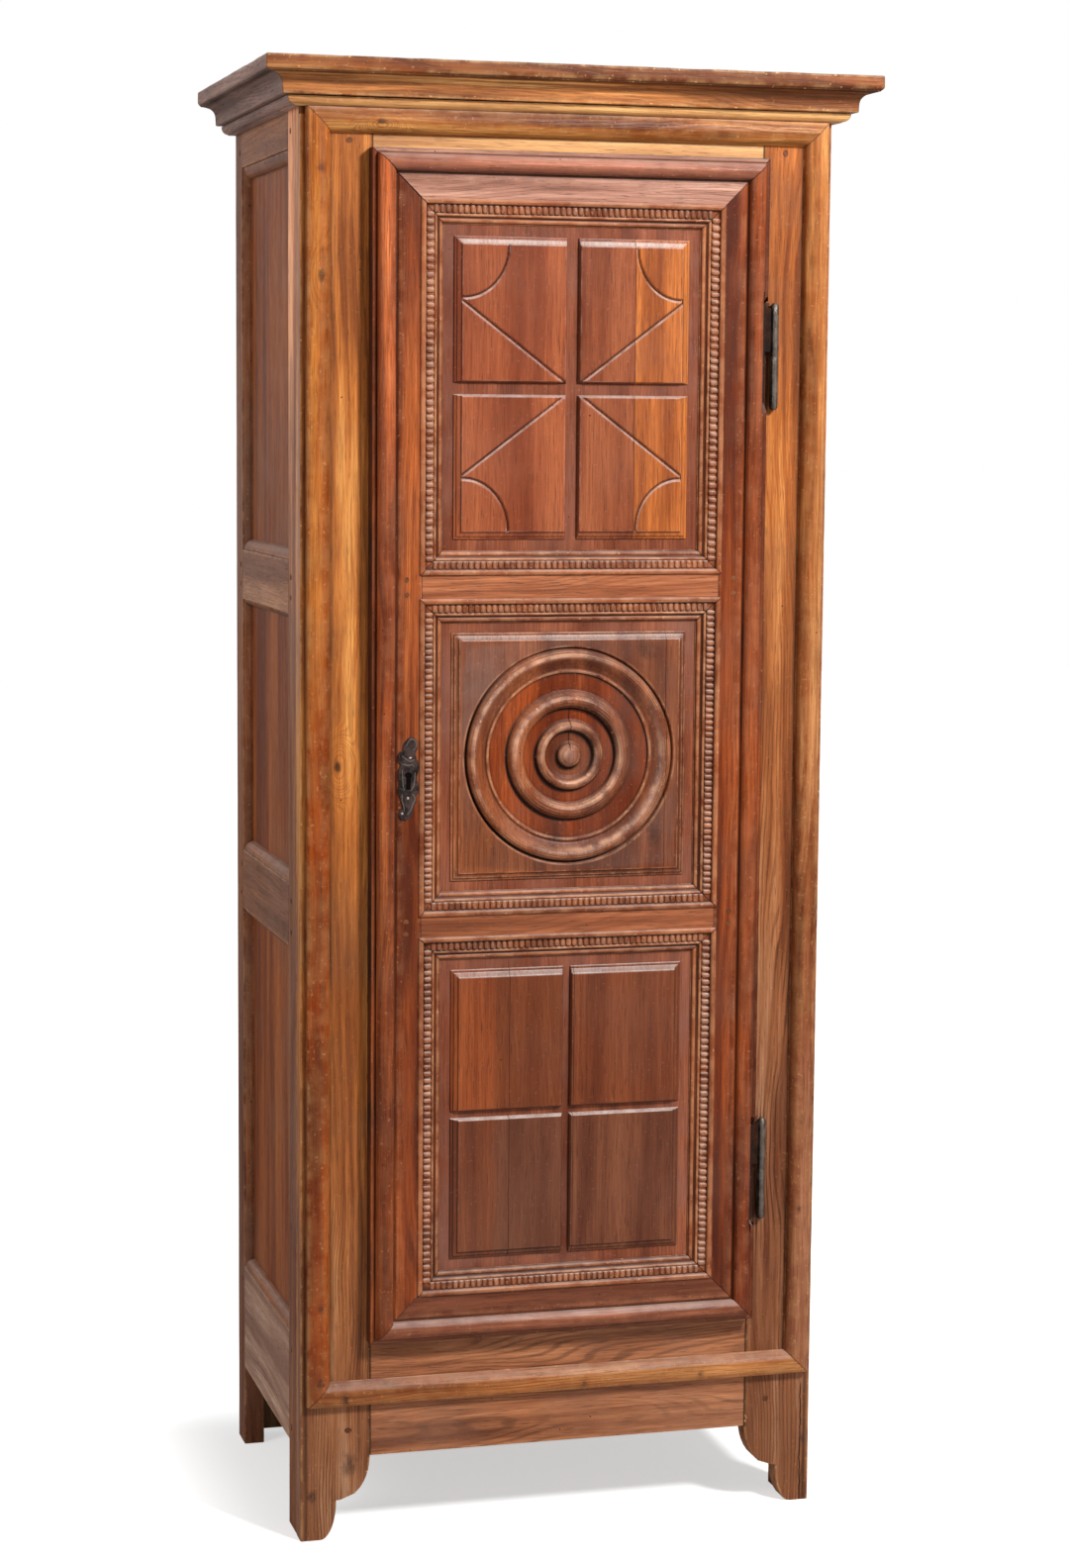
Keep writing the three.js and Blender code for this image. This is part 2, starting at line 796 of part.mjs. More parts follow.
// Door member section: lip, fillet, bold torus, flat, and a groove for the panels.
function doorProfile() {
  const half = torusWidth / 2;
  const middle = doorFilletWidth + half;
  const outerRise = lipFrontProud - torusProud;
  const innerRise = doorFaceProud - torusProud;
  const grooveFront = -(panelFaceProud + fit);
  const grooveBack = panelTongueThickness - panelFaceProud + fit;
  const grooveEnd = doorMemberWidth - grooveDepth - fit;
  return [
    [0, -lipStandoff],
    [0, -lipFrontProud],
    ...arc(middle, -lipFrontProud, -half, outerRise, 0, quarterTurn, mouldingSteps),
    ...arc(middle, -doorFaceProud, half, innerRise, quarterTurn, 0, mouldingSteps).slice(1),
    [doorMemberWidth, -doorFaceProud],
    [doorMemberWidth, grooveFront],
    [grooveEnd, grooveFront],
    [grooveEnd, grooveBack],
    [doorMemberWidth, grooveBack],
    [doorMemberWidth, doorTongueDepth],
    [lipWidth, doorTongueDepth],
    [lipWidth, -lipStandoff],
  ];
}

// Panel openings of the door, from the bottom: name, low and high edge.
const doorOpenings = [
  ['lower', doorMemberWidth, lowerMidRailLow],
  ['middle', lowerMidRailLow + lowerMidRailHeight, upperMidRailLow],
  ['upper', upperMidRailLow + upperMidRailHeight, doorHeight - doorMemberWidth],
];

const midRails = [
  ['door_lower_mid_rail', lowerMidRailLow, lowerMidRailLow + lowerMidRailHeight],
  ['door_upper_mid_rail', upperMidRailLow, upperMidRailLow + upperMidRailHeight],
];

const panelBackY = panelTongueThickness - panelFaceProud;

function midRailTenons(low, high) {
  const z0 = low + grooveDepth;
  const z1 = high - grooveDepth;
  return [
    span(panelLeft - midTenonLength, panelLeft + tenonRoot, -panelFaceProud, panelBackY, z0, z1),
    span(panelRight - tenonRoot, panelRight + midTenonLength, -panelFaceProud, panelBackY, z0, z1),
  ];
}

function panelBox(low, high) {
  return span(
    panelLeft - grooveDepth,
    panelRight + grooveDepth,
    -panelFaceProud,
    panelBackY,
    low - grooveDepth,
    high + grooveDepth,
  );
}

// A keyhole: a round eye with a slot that widens below it, run along Y.
function keyholeCut(y0, y1) {
  const centreX = (doorFilletWidth + torusWidth + doorMemberWidth) / 2;
  const slotHalf = keyholeSlotWidth / 2;
  const eyeStart = Math.acos(slotHalf / keyholeRadius);
  const eyeEnd = 2 * quarterTurn + eyeStart;
  const outline = [
    [centreX - slotHalf, lockCentreRise - keyholeSlotDrop],
    [centreX + slotHalf, lockCentreRise - keyholeSlotDrop],
    ...arc(centreX, lockCentreRise, keyholeRadius, keyholeRadius, -eyeStart, eyeEnd, arcSteps),
  ];
  return prismAlongY(outline, y0, y1);
}

function addDoorFrame() {
  const names = ['door_stile_lock', 'door_top_rail', 'door_stile_hinge', 'door_bottom_rail'];
  const lockCuts = [keyholeCut(-torusProud, doorTongueDepth + cutOverrun)];
  const hingeCuts = [];
  for (const [, low, high] of midRails) {
    const [left, right] = midRailTenons(low, high);
    lockCuts.push(...cutsFor([left]));
    hingeCuts.push(...cutsFor([right]));
  }
  for (const [, middle] of hinges) {
    const slot = boxGeometry(grown(doorLeafBox(middle), fit));
    slot.translate(-doorLeft, 0, -doorLow);
    hingeCuts.push(slot);
  }
  const cuts = { door_stile_lock: lockCuts, door_stile_hinge: hingeCuts };
  addMitredFrame(doorGroup, names, doorProfile(), doorWidth, doorHeight, 0, 0, doorWood, cuts);
  for (const [name, low, high] of midRails) {
    const rail = boxGeometry(span(panelLeft, panelRight, -doorFaceProud, doorTongueDepth, low, high));
    const tenons = midRailTenons(low, high).map(boxGeometry);
    const panels = doorOpenings.map(([, openLow, openHigh]) => panelBox(openLow, openHigh));
    place(doorGroup, name, worked(rail, tenons, cutsFor(panels)), doorWood);
  }
}

// Edges of the plinth that carries a panel's field, inside its moulding and flat margin.
function plinthEdges(low, high) {
  const inset = panelMouldingWidth + fieldMargin;
  return [panelLeft + inset, panelRight - inset, low + inset, high - inset];
}

const plinthY = -(panelFaceProud + plinthRise);
const fieldY = -(panelFaceProud + fieldRise);

// Depths and insets of a plinth, and of a block that rises from it with a bevel all round.
const plinthLevels = [[panelBackY, 0], [plinthY, 0]];
const blockLevels = [[panelBackY, 0], [plinthY, 0], [fieldY, fieldBevel]];

// A panel with a low plinth and four bevelled blocks, parted by a cross of channels.
function quarteredPanel(low, high) {
  const [x0, x1, z0, z1] = plinthEdges(low, high);
  const parts = [raisedBlock(x0, x1, z0, z1, plinthLevels)];
  const blockWidth = (x1 - x0 - 2 * plinthWidth - channelFloorWidth) / 2;
  const blockHeight = (z1 - z0 - 2 * plinthWidth - channelFloorWidth) / 2;
  for (const left of [x0 + plinthWidth, x1 - plinthWidth - blockWidth]) {
    for (const foot of [z0 + plinthWidth, z1 - plinthWidth - blockHeight]) {
      parts.push(raisedBlock(left, left + blockWidth, foot, foot + blockHeight, blockLevels));
    }
  }
  return worked(boxGeometry(panelBox(low, high)), parts, []);
}

// Carved roundel, as shares of its radius and of its depth below the field, from the middle out:
// a knob in a dish, a ring, a flat, a bold ring, a wide flat, a thin bead, a hollow and a rim.
const roundelShares = [
  [0, 0.1], [0.041, 0.15], [0.082, 0.31], [0.107, 0.62], [0.117, 1], [0.137, 1], [0.206, 0.75],
  [0.261, 0.44], [0.268, 0.25], [0.282, 0.19], [0.302, 0.31], [0.337, 0.75], [0.344, 0.78],
  [0.412, 0.78], [0.419, 0.82], [0.44, 0.62], [0.474, 0.22], [0.515, 0.06], [0.557, 0.22],
  [0.591, 0.7], [0.598, 0.85], [0.608, 0.88], [0.619, 0.75], [0.77, 0.75], [0.78, 0.78],
  [0.784, 0.4], [0.794, 0.3], [0.804, 0.42], [0.832, 0.52], [0.866, 0.5], [0.9, 0.25],
  [0.928, 0.04], [0.942, 0.06], [0.962, 0.25], [0.973, 0.38], [0.983, 0.38], [0.99, 0.1],
];

function roundelPanel(low, high) {
  const [x0, x1, z0, z1] = plinthEdges(low, high);
  const inner = [x0 + plinthWidth, x1 - plinthWidth, z0 + plinthWidth, z1 - plinthWidth];
  const parts = [raisedBlock(x0, x1, z0, z1, plinthLevels), raisedBlock(...inner, blockLevels)];
  const radius = Math.min(x1 - x0, z1 - z0) / 2 - plinthWidth - fieldBevel - roundelMargin;
  const relief = roundelShares.map(([out, deep]) => [out * radius, fieldY + deep * roundelDepth]);
  const rim = [[0, fieldY - cutOverrun], [radius, fieldY - cutOverrun], [radius, fieldY]];
  const cutter = turnedAlongY([...rim, ...relief.reverse()], roundelSides);
  cutter.translate((x0 + x1) / 2, 0, (z0 + z1) / 2);
  return worked(boxGeometry(panelBox(low, high)), parts, [cutter]);
}

// Panel moulding section, as shares of its width and of its rise from inner to outer height:
// an outer bead, a sloping band and an ogee down to the panel.
const panelMouldingShares = [
  [0, 0.75], [0.05, 0.92], [0.1, 1], [0.16, 0.92], [0.2, 0.75], [0.24, 0.8],
  [0.62, 0.5], [0.68, 0.52], [0.76, 0.48], [0.84, 0.3], [0.92, 0.12], [1, 0],
];

function addDoorPanels() {
  const rise = panelMouldingProud - panelMouldingInnerProud;
  const back = -(panelFaceProud + fit);
  const profile = [
    [0, back],
    ...panelMouldingShares.map(([across, up]) => [
      across * panelMouldingWidth,
      -(panelMouldingInnerProud + up * rise),
    ]),
    [panelMouldingWidth, back],
  ];
  for (const [name, low, high] of doorOpenings) {
    const panel = name === 'middle' ? roundelPanel(low, high) : quarteredPanel(low, high);
    place(doorGroup, `door_${name}_panel`, panel, doorWood);
    const ring = mitredRing(profile, panelLeft + fit, panelRight - fit, low + fit, high - fit);
    place(doorGroup, `door_${name}_panel_moulding`, ring, doorWood);
  }
}

// A knuckle: a short turned barrel about the hinge line, from one height to another.
function knuckle(z0, z1, boreRadius) {
  const inner = boreRadius;
  const shoulder = hingeRadius - hingeEndRounding;
  const outline = [
    [inner, z0],
    [shoulder, z0],
    [hingeRadius, z0 + hingeEndRounding],
    [hingeRadius, z1 - hingeEndRounding],
    [shoulder, z1],
    [inner, z1],
    [inner, z0],
  ];
  const geometry = turnedAlongY(boreRadius > 0 ? outline : outline.slice(0, -1), turnedSides);
  geometry.rotateX(quarterTurn);
  geometry.translate(hingeX, hingeY, 0);
  return geometry;
}

function hingePin(z0, z1) {
  const geometry = new THREE.CylinderGeometry(hingePinRadius, hingePinRadius, z1 - z0, turnedSides);
  geometry.rotateX(quarterTurn);
  geometry.translate(hingeX, hingeY, (z0 + z1) / 2);
  return geometry;
}

function addHinges() {
  for (const [name, middle] of hinges) {
    const low = middle - hingeHeight / 2;
    const high = middle + hingeHeight / 2;
    const postHigh = middle - hingeKnuckleGap / 2;
    const doorKnuckleLow = middle + hingeKnuckleGap / 2;
    const pin = hingePin(postHigh - cutOverrun, high - hingeEndRounding);
    const leaf = boxGeometry(postLeafBox(middle));
    const postSide = worked(knuckle(low, postHigh, 0), [pin, leaf], []);
    place(caseGroup, `hinge_${name}_post_leaf`, postSide, iron, true);
    const bore = hingePinRadius + hingePinPlay;
    const doorSide = worked(knuckle(doorKnuckleLow, high, bore), [boxGeometry(doorLeafBox(middle))], []);
    doorSide.translate(-doorLeft, 0, -doorLow);
    place(doorGroup, `hinge_${name}_door_leaf`, doorSide, iron, true);
  }
}

// Pierced plate with a scrolled outline, as shares of its half width and half height.
const plateOutlineShares = [
  [0, 1], [0.35, 0.9], [0.25, 0.74], [0.6, 0.7], [1, 0.52], [0.85, 0.3], [0.5, 0.26],
  [0.8, 0.1], [0.95, -0.12], [0.6, -0.3], [0.9, -0.48], [0.7, -0.68], [0.3, -0.72],
  [0.35, -0.88], [0, -1], [-0.3, -0.86], [-0.25, -0.7], [-0.65, -0.66], [-0.95, -0.46],
  [-0.7, -0.28], [-0.9, -0.1], [-0.75, 0.12], [-0.45, 0.28], [-0.85, 0.36], [-0.95, 0.56],
  [-0.6, 0.72], [-0.25, 0.76], [-0.32, 0.9],
];

function addLock() {
  const centreX = (doorFilletWidth + torusWidth + doorMemberWidth) / 2;
  const outline = plateOutlineShares.map(([across, up]) => new THREE.Vector3(
    centreX + (across * plateWidth) / 2,
    lockCentreRise + (up * plateHeight) / 2,
    0,
  ));
  const curve = new THREE.CatmullRomCurve3(outline, true);
  const curvePoints = curve.getPoints(plateOutlineShares.length * 3).slice(0, -1);
  const points = curvePoints.map((point) => [point.x, point.y]);
  const plate = prismAlongY(points, -(doorFaceProud + plateThickness), -doorFaceProud);
  const hole = keyholeCut(-torusProud, 0);
  place(doorGroup, 'escutcheon', worked(plate, [], [hole]), iron, true);

  const lockCase = boxGeometry(span(
    lockX0,
    lockX0 + lockWidth,
    lockY0,
    lockY0 + lockThickness,
    lockCentreRise - lockHeight / 2,
    lockCentreRise + lockHeight / 2,
  ));
  const channel = grown(boltBox, fit);
  channel.low.x -= cutOverrun;
  place(doorGroup, 'lock_case', worked(lockCase, [], [boxGeometry(channel)]), iron, true);
  place(doorGroup, 'lock_bolt', boxGeometry(boltBox), iron, true);
}

addPosts();
addFrontRails();
addSides();
addBack();
addFloorAndTop();
addShelves();
addCornice();
addFrontMoulding();
addDoorFrame();
addDoorPanels();
addHinges();
addLock();

export default cabinet;
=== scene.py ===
import math

import bmesh
import bpy
import numpy as np
from mathutils import Matrix, Vector, noise


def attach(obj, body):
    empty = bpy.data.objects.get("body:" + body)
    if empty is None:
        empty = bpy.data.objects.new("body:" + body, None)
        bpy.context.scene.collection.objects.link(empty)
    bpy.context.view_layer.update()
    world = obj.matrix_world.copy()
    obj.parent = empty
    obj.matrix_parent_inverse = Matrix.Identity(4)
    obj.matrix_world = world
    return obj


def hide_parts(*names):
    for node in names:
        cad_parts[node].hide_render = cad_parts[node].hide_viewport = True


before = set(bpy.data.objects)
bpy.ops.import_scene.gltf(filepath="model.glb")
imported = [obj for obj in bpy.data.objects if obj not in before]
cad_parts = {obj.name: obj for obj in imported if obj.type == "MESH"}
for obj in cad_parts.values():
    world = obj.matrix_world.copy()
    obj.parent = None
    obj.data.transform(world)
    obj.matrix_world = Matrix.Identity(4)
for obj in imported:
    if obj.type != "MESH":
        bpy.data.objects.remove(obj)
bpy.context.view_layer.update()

# Camera
# The lens and the place that the picture was taken from, a little left of the cupboard and
# below the height of its cornice. Plain studio view, with everything in focus.
def set_down(name, data):
    made = bpy.data.objects.new(name, data)
    bpy.context.scene.collection.objects.link(made)
    return made


lens = bpy.data.cameras.new("studio_camera")
lens.lens = 73.677
lens.sensor_width = 36.0
lens.clip_end = 60.0
camera = set_down("studio_camera", lens)
to_right = Vector((0.96471988, -0.26316214, 0.00782598))
downward = Vector((-0.02245926, -0.11187687, -0.99346824))
looking = Vector((0.26231878, 0.95824279, -0.11384027))
turn = Matrix((to_right, -downward, -looking)).transposed().to_4x4()
camera.matrix_world = Matrix.Translation((-1.19221, -4.40772, 1.53870)) @ turn
bpy.context.scene.camera = camera
bpy.context.scene.view_settings.view_transform = "Standard"


# Studio light, backdrop and floor
# A large soft lamp above the front, a weaker one at the left, and an even pale world.
# The floor is white paper that keeps the cupboard's shadow.
def put(tree, kind, inputs=None, **settings):
    made = tree.nodes.new(kind)
    for key, value in settings.items():
        setattr(made, key, value)
    for key, value in (inputs or {}).items():
        socket = made.inputs[key]
        if isinstance(value, bpy.types.NodeSocket):
            tree.links.new(value, socket)
        else:
            socket.default_value = value
    return made


def sum_of(tree, operation, first, second=0.0, third=0.0, clamp=False):
    return put(tree, "ShaderNodeMath", {0: first, 1: second, 2: third},
               operation=operation, use_clamp=clamp).outputs[0]


def vector_sum(tree, operation, first, second=(0.0, 0.0, 0.0)):
    made = put(tree, "ShaderNodeVectorMath", {0: first, 1: second}, operation=operation)
    return made.outputs["Value" if operation == "LENGTH" else "Vector"]


def faded(tree, value, start, end, low=0.0, high=1.0, step="SMOOTHSTEP"):
    return put(tree, "ShaderNodeMapRange", {0: value, 1: start, 2: end, 3: low, 4: high},
               interpolation_type=step).outputs[0]


def cleared(owner):
    """The node tree of a material or the world, with nothing in it."""
    owner.use_nodes = True
    owner.node_tree.nodes.clear()
    return owner.node_tree


def soft_lamp(name, place, aim, size, power):
    light = bpy.data.lights.new(name, "AREA")
    light.shape = "RECTANGLE"
    light.size, light.size_y = size
    light.energy = power
    lamp = set_down(name, light)
    lamp.location = place
    lamp.rotation_euler = (Vector(aim) - Vector(place)).to_track_quat("-Z", "Y").to_euler()


soft_lamp("soft_lamp_above", (1.5, -3.05, 3.35), (0.0, -0.2, 1.1), (0.6, 0.6), 185.0)
soft_lamp("soft_lamp_left", (-3.4, -1.6, 2.7), (-0.37, 0.0, 1.1), (1.6, 1.8), 46.0)

world_level = 0.17
white = (1.0, 1.0, 1.0, 1.0)
world = bpy.data.worlds.new("pale_world")
bpy.context.scene.world = world
sky = cleared(world)
ray = put(sky, "ShaderNodeLightPath")
seen = sum_of(sky, "ADD", ray.outputs["Is Camera Ray"], ray.outputs["Is Transmission Ray"], clamp=True)
seen = sum_of(sky, "ADD", seen, ray.outputs["Is Glossy Ray"], clamp=True)
level = faded(sky, seen, 0.0, 1.0, world_level, 1.0)
glow = put(sky, "ShaderNodeBackground", {"Color": white, "Strength": level})
put(sky, "ShaderNodeOutputWorld", {"Surface": glow.outputs[0]})

floor_half = 14.0
floor_mesh = bpy.data.meshes.new("paper_floor")
floor_mesh.from_pydata([(-floor_half, -floor_half, 0), (floor_half, -floor_half, 0),
                        (floor_half, floor_half, 0), (-floor_half, floor_half, 0)], [], [(0, 1, 2, 3)])
paper_floor = set_down("paper_floor", floor_mesh)

# The paper glows to white away from the feet and stays plain close to them, where the shadow lies
feet_middle, feet_half, shadow_reach = (0.0, 0.03, 0.0), (0.37, 0.24, 0.0), 0.22
paper = bpy.data.materials.new("white_paper")
sheet = cleared(paper)
ray = put(sheet, "ShaderNodeLightPath")
ground = put(sheet, "ShaderNodeTexCoord").outputs["Object"]
aside = vector_sum(sheet, "ABSOLUTE", vector_sum(sheet, "SUBTRACT", ground, feet_middle))
aside = vector_sum(sheet, "MAXIMUM", vector_sum(sheet, "SUBTRACT", aside, feet_half))
far = vector_sum(sheet, "LENGTH", aside)
lift = faded(sheet, far, 0.0, shadow_reach, 0.56, 1.0)
lift = sum_of(sheet, "MULTIPLY", lift, ray.outputs["Is Camera Ray"])
matt = put(sheet, "ShaderNodeBsdfDiffuse", {"Color": (0.8, 0.8, 0.8, 1.0)})
shine = put(sheet, "ShaderNodeEmission", {"Color": white, "Strength": lift})
both = put(sheet, "ShaderNodeAddShader", {0: matt.outputs[0], 1: shine.outputs[0]})
put(sheet, "ShaderNodeOutputMaterial", {"Surface": both.outputs[0]})
floor_mesh.materials.append(paper)


# Front posts
# Each front post is an L of two old boards, a face board sawn to a scallop at the foot and a
# narrower one behind it at the side. Waxed golden-brown wood, pale and rounded on the arrises.
def group_of(name, takes, gives):
    tree = bpy.data.node_groups.new(name, "ShaderNodeTree")
    for socket, kind, value in takes:
        made = tree.interface.new_socket(socket, in_out="INPUT", socket_type=kind)
        made.default_value = value
    for socket in gives:
        tree.interface.new_socket(socket, in_out="OUTPUT", socket_type="NodeSocketFloat")
    start = tree.nodes.new("NodeGroupInput")
    end = tree.nodes.new("NodeGroupOutput")
    return tree, start.outputs, end


def given(tree, end, values):
    for name, value in values.items():
        tree.links.new(value, end.inputs[name])


def scaled(tree, vector, scale):
    return vector_sum(tree, "MULTIPLY", vector, scale)


def speckle(tree, vector, detail, rough=0.5, scale=1.0):
    return put(tree, "ShaderNodeTexNoise", {"Vector": vector, "Scale": scale, "Detail": detail,
                                            "Roughness": rough}).outputs["Fac"]


def streaks(tree, place, along, cross, detail, rough=0.5):
    """Noise that is drawn out along the grain."""
    return speckle(tree, scaled(tree, place, (along, cross, cross)), detail, rough)


# The figure of all the cupboard's wood: its rings, fine lines, fibres, pores and knots
full_turn = 6.28318
figure, get, end = group_of(
    "timber_figure",
    [("Place", "NodeSocketVector", (0, 0, 0)), ("Rings", "NodeSocketFloat", 60.0),
     ("Wander", "NodeSocketFloat", 5.0), ("Knot", "NodeSocketVector", (99, 99, 99)),
     ("Knot Size", "NodeSocketFloat", 0.01), ("Ring Depth", "NodeSocketFloat", 1.0)],
    ["Figure", "Fibre", "Pores", "Knot", "Lines"])
place = get["Place"]
parts = put(figure, "ShaderNodeSeparateXYZ", {0: place})
slow = streaks(figure, place, 1.5, 8.0, 2.0)
off = scaled(figure, vector_sum(figure, "SUBTRACT", place, get["Knot"]), (0.5, 1.0, 0.0))
off = vector_sum(figure, "LENGTH", off)
wide = sum_of(figure, "MULTIPLY", get["Knot Size"], 5.0)
swirl = faded(figure, off, 0.0, wide, 1.0, 0.0, "SMOOTHERSTEP")
phase = sum_of(figure, "MULTIPLY", parts.outputs[1], get["Rings"])
through = sum_of(figure, "MULTIPLY", parts.outputs[2], get["Rings"])
phase = sum_of(figure, "MULTIPLY_ADD", through, 0.6, phase)
phase = sum_of(figure, "MULTIPLY_ADD", slow, get["Wander"], phase)
phase = sum_of(figure, "MULTIPLY_ADD", swirl, 3.0, phase)
ring = sum_of(figure, "SINE", sum_of(figure, "MULTIPLY", phase, full_turn))
ring = sum_of(figure, "MULTIPLY_ADD", ring, 0.5, 0.5)
ring = sum_of(figure, "POWER", ring, 2.2)
broad = faded(figure, streaks(figure, place, 1.6, 24.0, 5.0, 0.6), 0.3, 0.7)
strength = faded(figure, streaks(figure, place, 2.0, 9.0, 1.0), 0.35, 0.65, 0.06, 0.34)
strength = sum_of(figure, "MULTIPLY", strength, get["Ring Depth"])
mixed = sum_of(figure, "SUBTRACT", broad, sum_of(figure, "MULTIPLY", ring, strength), clamp=True)
wobble = streaks(figure, place, 9.0, 40.0, 2.0)
close = sum_of(figure, "MULTIPLY_ADD", wobble, 1.3, sum_of(figure, "MULTIPLY", phase, 3.2))
close = sum_of(figure, "SINE", sum_of(figure, "MULTIPLY", close, full_turn))
close_share = faded(figure, streaks(figure, place, 5.0, 30.0, 2.0), 0.38, 0.62, 0.15, 1.0)
close = sum_of(figure, "MULTIPLY", faded(figure, close, 0.1, 0.95), close_share)
fibre = streaks(figure, place, 11.0, 340.0, 4.0, 0.7)
pores = faded(figure, streaks(figure, place, 38.0, 760.0, 1.0), 0.6, 0.72)
blot = streaks(figure, place, 60.0, 60.0, 2.0)
edge = sum_of(figure, "MULTIPLY_ADD", blot, get["Knot Size"], off)
near = sum_of(figure, "MULTIPLY", get["Knot Size"], 0.75)
mark = faded(figure, edge, near, sum_of(figure, "MULTIPLY", near, 2.0), 1.0, 0.0)
given(figure, end, {"Figure": mixed, "Fibre": fibre, "Pores": pores, "Knot": mark, "Lines": close})

# Its old surface: stains, worm holes, dents, patches of wear and painted highlight, and chips
age, get, end = group_of(
    "old_surface",
    [("Place", "NodeSocketVector", (0, 0, 0)), ("Holes", "NodeSocketFloat", 0.8)],
    ["Stain", "Hole", "Dents", "Wear_And_Highlight_Patches", "Chips"])
place = get["Place"]
stain = faded(age, speckle(age, place, 4.0, 0.6, 4.5), 0.42, 0.72)
cells = put(age, "ShaderNodeTexVoronoi", {"Vector": place, "Scale": 42.0})
rare = put(age, "ShaderNodeSeparateColor", {0: cells.outputs["Color"]}).outputs[0]
rare = sum_of(age, "GREATER_THAN", rare, get["Holes"])
hole = sum_of(age, "MULTIPLY", faded(age, cells.outputs["Distance"], 0.03, 0.06, 1.0, 0.0), rare)
dents = speckle(age, place, 3.0, 0.55, 26.0)
wear_and_highlight_share = faded(age, speckle(age, place, 3.0, 0.6, 38.0), 0.34, 0.66)
chips = faded(age, speckle(age, place, 2.0, 0.6, 210.0), 0.62, 0.72)
given(age, end, {"Stain": stain, "Hole": hole, "Dents": dents, "Wear_And_Highlight_Patches": wear_and_highlight_share, "Chips": chips})


def shade(red, green, blue):
    """A colour as the renderer takes it, from levels of 0 to 255."""
    def linear(level):
        level /= 255.0
        return level / 12.92 if level <= 0.04045 else ((level + 0.055) / 1.055) ** 2.4
    return (linear(red), linear(green), linear(blue), 1.0)


def mixed_colour(tree, factor, first, second, kind="MIX"):
    return put(tree, "ShaderNodeMix", {0: factor, 6: first, 7: second},
               data_type="RGBA", blend_type=kind).outputs[2]


def mask(tree, attribute):
    return put(tree, "ShaderNodeAttribute", attribute_name=attribute).outputs["Fac"]


def tones_of(tree, value, dark, mid, light):
    tones = put(tree, "ShaderNodeValToRGB", {0: value})
    tones.color_ramp.elements[0].color = dark
    tones.color_ramp.elements[1].color = light
    tones.color_ramp.elements.new(0.5).color = mid
    return tones.outputs[0]


def finished(material, colour, rough, strength, distance, height, shine, metal=None):
    """Closes a material's tree with its surface and a bump."""
    tree = material.node_tree
    bump = put(tree, "ShaderNodeBump", {"Strength": strength, "Distance": distance, "Height": height})
    inputs = {"Base Color": colour, "Roughness": rough, "Normal": bump.outputs[0],
              "Specular IOR Level": shine}
    if metal:
        inputs["Metallic"] = metal
    surface = put(tree, "ShaderNodeBsdfPrincipled", inputs)
    put(tree, "ShaderNodeOutputMaterial", {"Surface": surface.outputs[0]})


